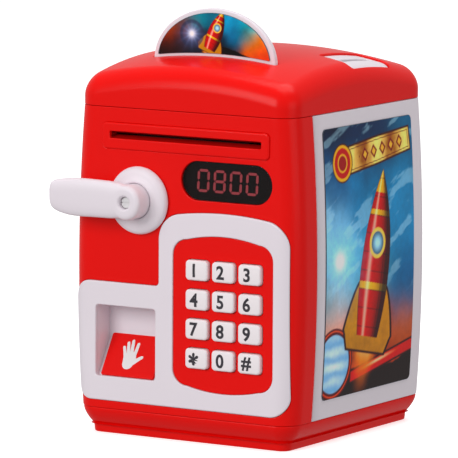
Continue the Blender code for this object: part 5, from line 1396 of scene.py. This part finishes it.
sign_film = slab(sign_film_outline(1.1), (), 0.50, 0.12, 0.1)
make("sign_label_film", facing_front(sign_film, SIGN_Y), label_edge, "bank", ["sign_label"])
printed("sign_label_print", (SIGN_X - 32.3, SIGN_X + 32.3), (185.4, SIGN_BASE + SIGN_RISE - SIGN_BORDER), 0.2,
        sign_picture, lambda surface: facing_front(surface, SIGN_Y), "bank", inside_sign, lift=0.525)

# %% [markdown]
# ## Stage, light and camera
# A pale floor, a large soft light high on the left in front, a weaker one on the right, and an
# even pale surround. The camera stands far off with a long lens, so that the verticals stay
# nearly parallel.

# %% Stage
floor_mesh = bpy.data.meshes.new("floor")
floor_mesh.from_pydata([(-14, -8, 0), (14, -8, 0), (14, 20, 0), (-14, 20, 0)], [], [(0, 1, 2, 3)])
floor = bpy.data.objects.new("floor", floor_mesh)
bpy.context.scene.collection.objects.link(floor)
floor_look = finish("pale floor", (0.90, 0.90, 0.90), (0.93, 0.93, 0.93), (0.5, 0.6), flow=1.0, peel=60.0)
floor_shader = floor_look.node_tree.nodes["Principled BSDF"]
floor_shader.inputs["Emission Color"].default_value = (1.0, 1.0, 1.0, 1.0)
floor_shader.inputs["Emission Strength"].default_value = 0.60
floor_mesh.materials.append(floor_look)
floor.visible_diffuse = False       # nor does the floor throw its light back up
floor.visible_glossy = False        # the toy's gloss shows the soft surround, not the bright floor

world = bpy.data.worlds.new("surround")
bpy.context.scene.world = world
world.use_nodes = True
world.node_tree.nodes["Background"].inputs["Color"].default_value = (1.0, 1.0, 1.0, 1.0)
world.node_tree.nodes["Background"].inputs["Strength"].default_value = 0.46


def soft_light(name, place, size, power, aim=(0, 0, 0.09)):
    """A square lamp of a given side, turned so that it faces the bank."""
    lamp = bpy.data.lights.new(name, "AREA")
    lamp.shape, lamp.size, lamp.energy = "SQUARE", size, power
    thing = bpy.data.objects.new(name, lamp)
    thing.location = place
    thing.rotation_euler = (Vector(aim) - Vector(place)).to_track_quat("-Z", "Y").to_euler()
    bpy.context.scene.collection.objects.link(thing)


soft_light("key", (-0.6, -2.0, 0.95), 1.2, 25.0)
soft_light("fill", (1.8, -0.4, 0.5), 1.2, 5.0)
soft_light("top", (0.1, 0.3, 1.8), 1.4, 18.0)

# %% Camera
AZIMUTH, ELEVATION, ROLL, FAR = math.radians(31.76), math.radians(7.50), math.radians(0.30), 2.594
right = Vector((math.cos(AZIMUTH), math.sin(AZIMUTH), 0.0))
behind = Vector((math.sin(AZIMUTH) * math.cos(ELEVATION), -math.cos(AZIMUTH) * math.cos(ELEVATION),
                 math.sin(ELEVATION)))
up = behind.cross(right)
target = Vector((MIDDLE[0] * MM, MIDDLE[1] * MM, 0.095)) + right * -0.0114 + up * 0.0030
side_roll = right * math.cos(ROLL) + up * math.sin(ROLL)
camera_data = bpy.data.cameras.new("camera")
camera_data.lens, camera_data.sensor_width = 411.8, 36.0
camera_data.clip_start, camera_data.clip_end = 0.1, 60.0
camera = bpy.data.objects.new("camera", camera_data)
camera.location = target + behind * FAR
camera.rotation_euler = Matrix((side_roll, behind.cross(side_roll), behind)).transposed().to_euler()
bpy.context.scene.collection.objects.link(camera)
bpy.context.scene.camera = camera
bpy.context.scene.view_settings.view_transform = "Standard"
bpy.context.scene.view_settings.look = "None"

# %% Finish
print("pieces made:", len(pieces_made))
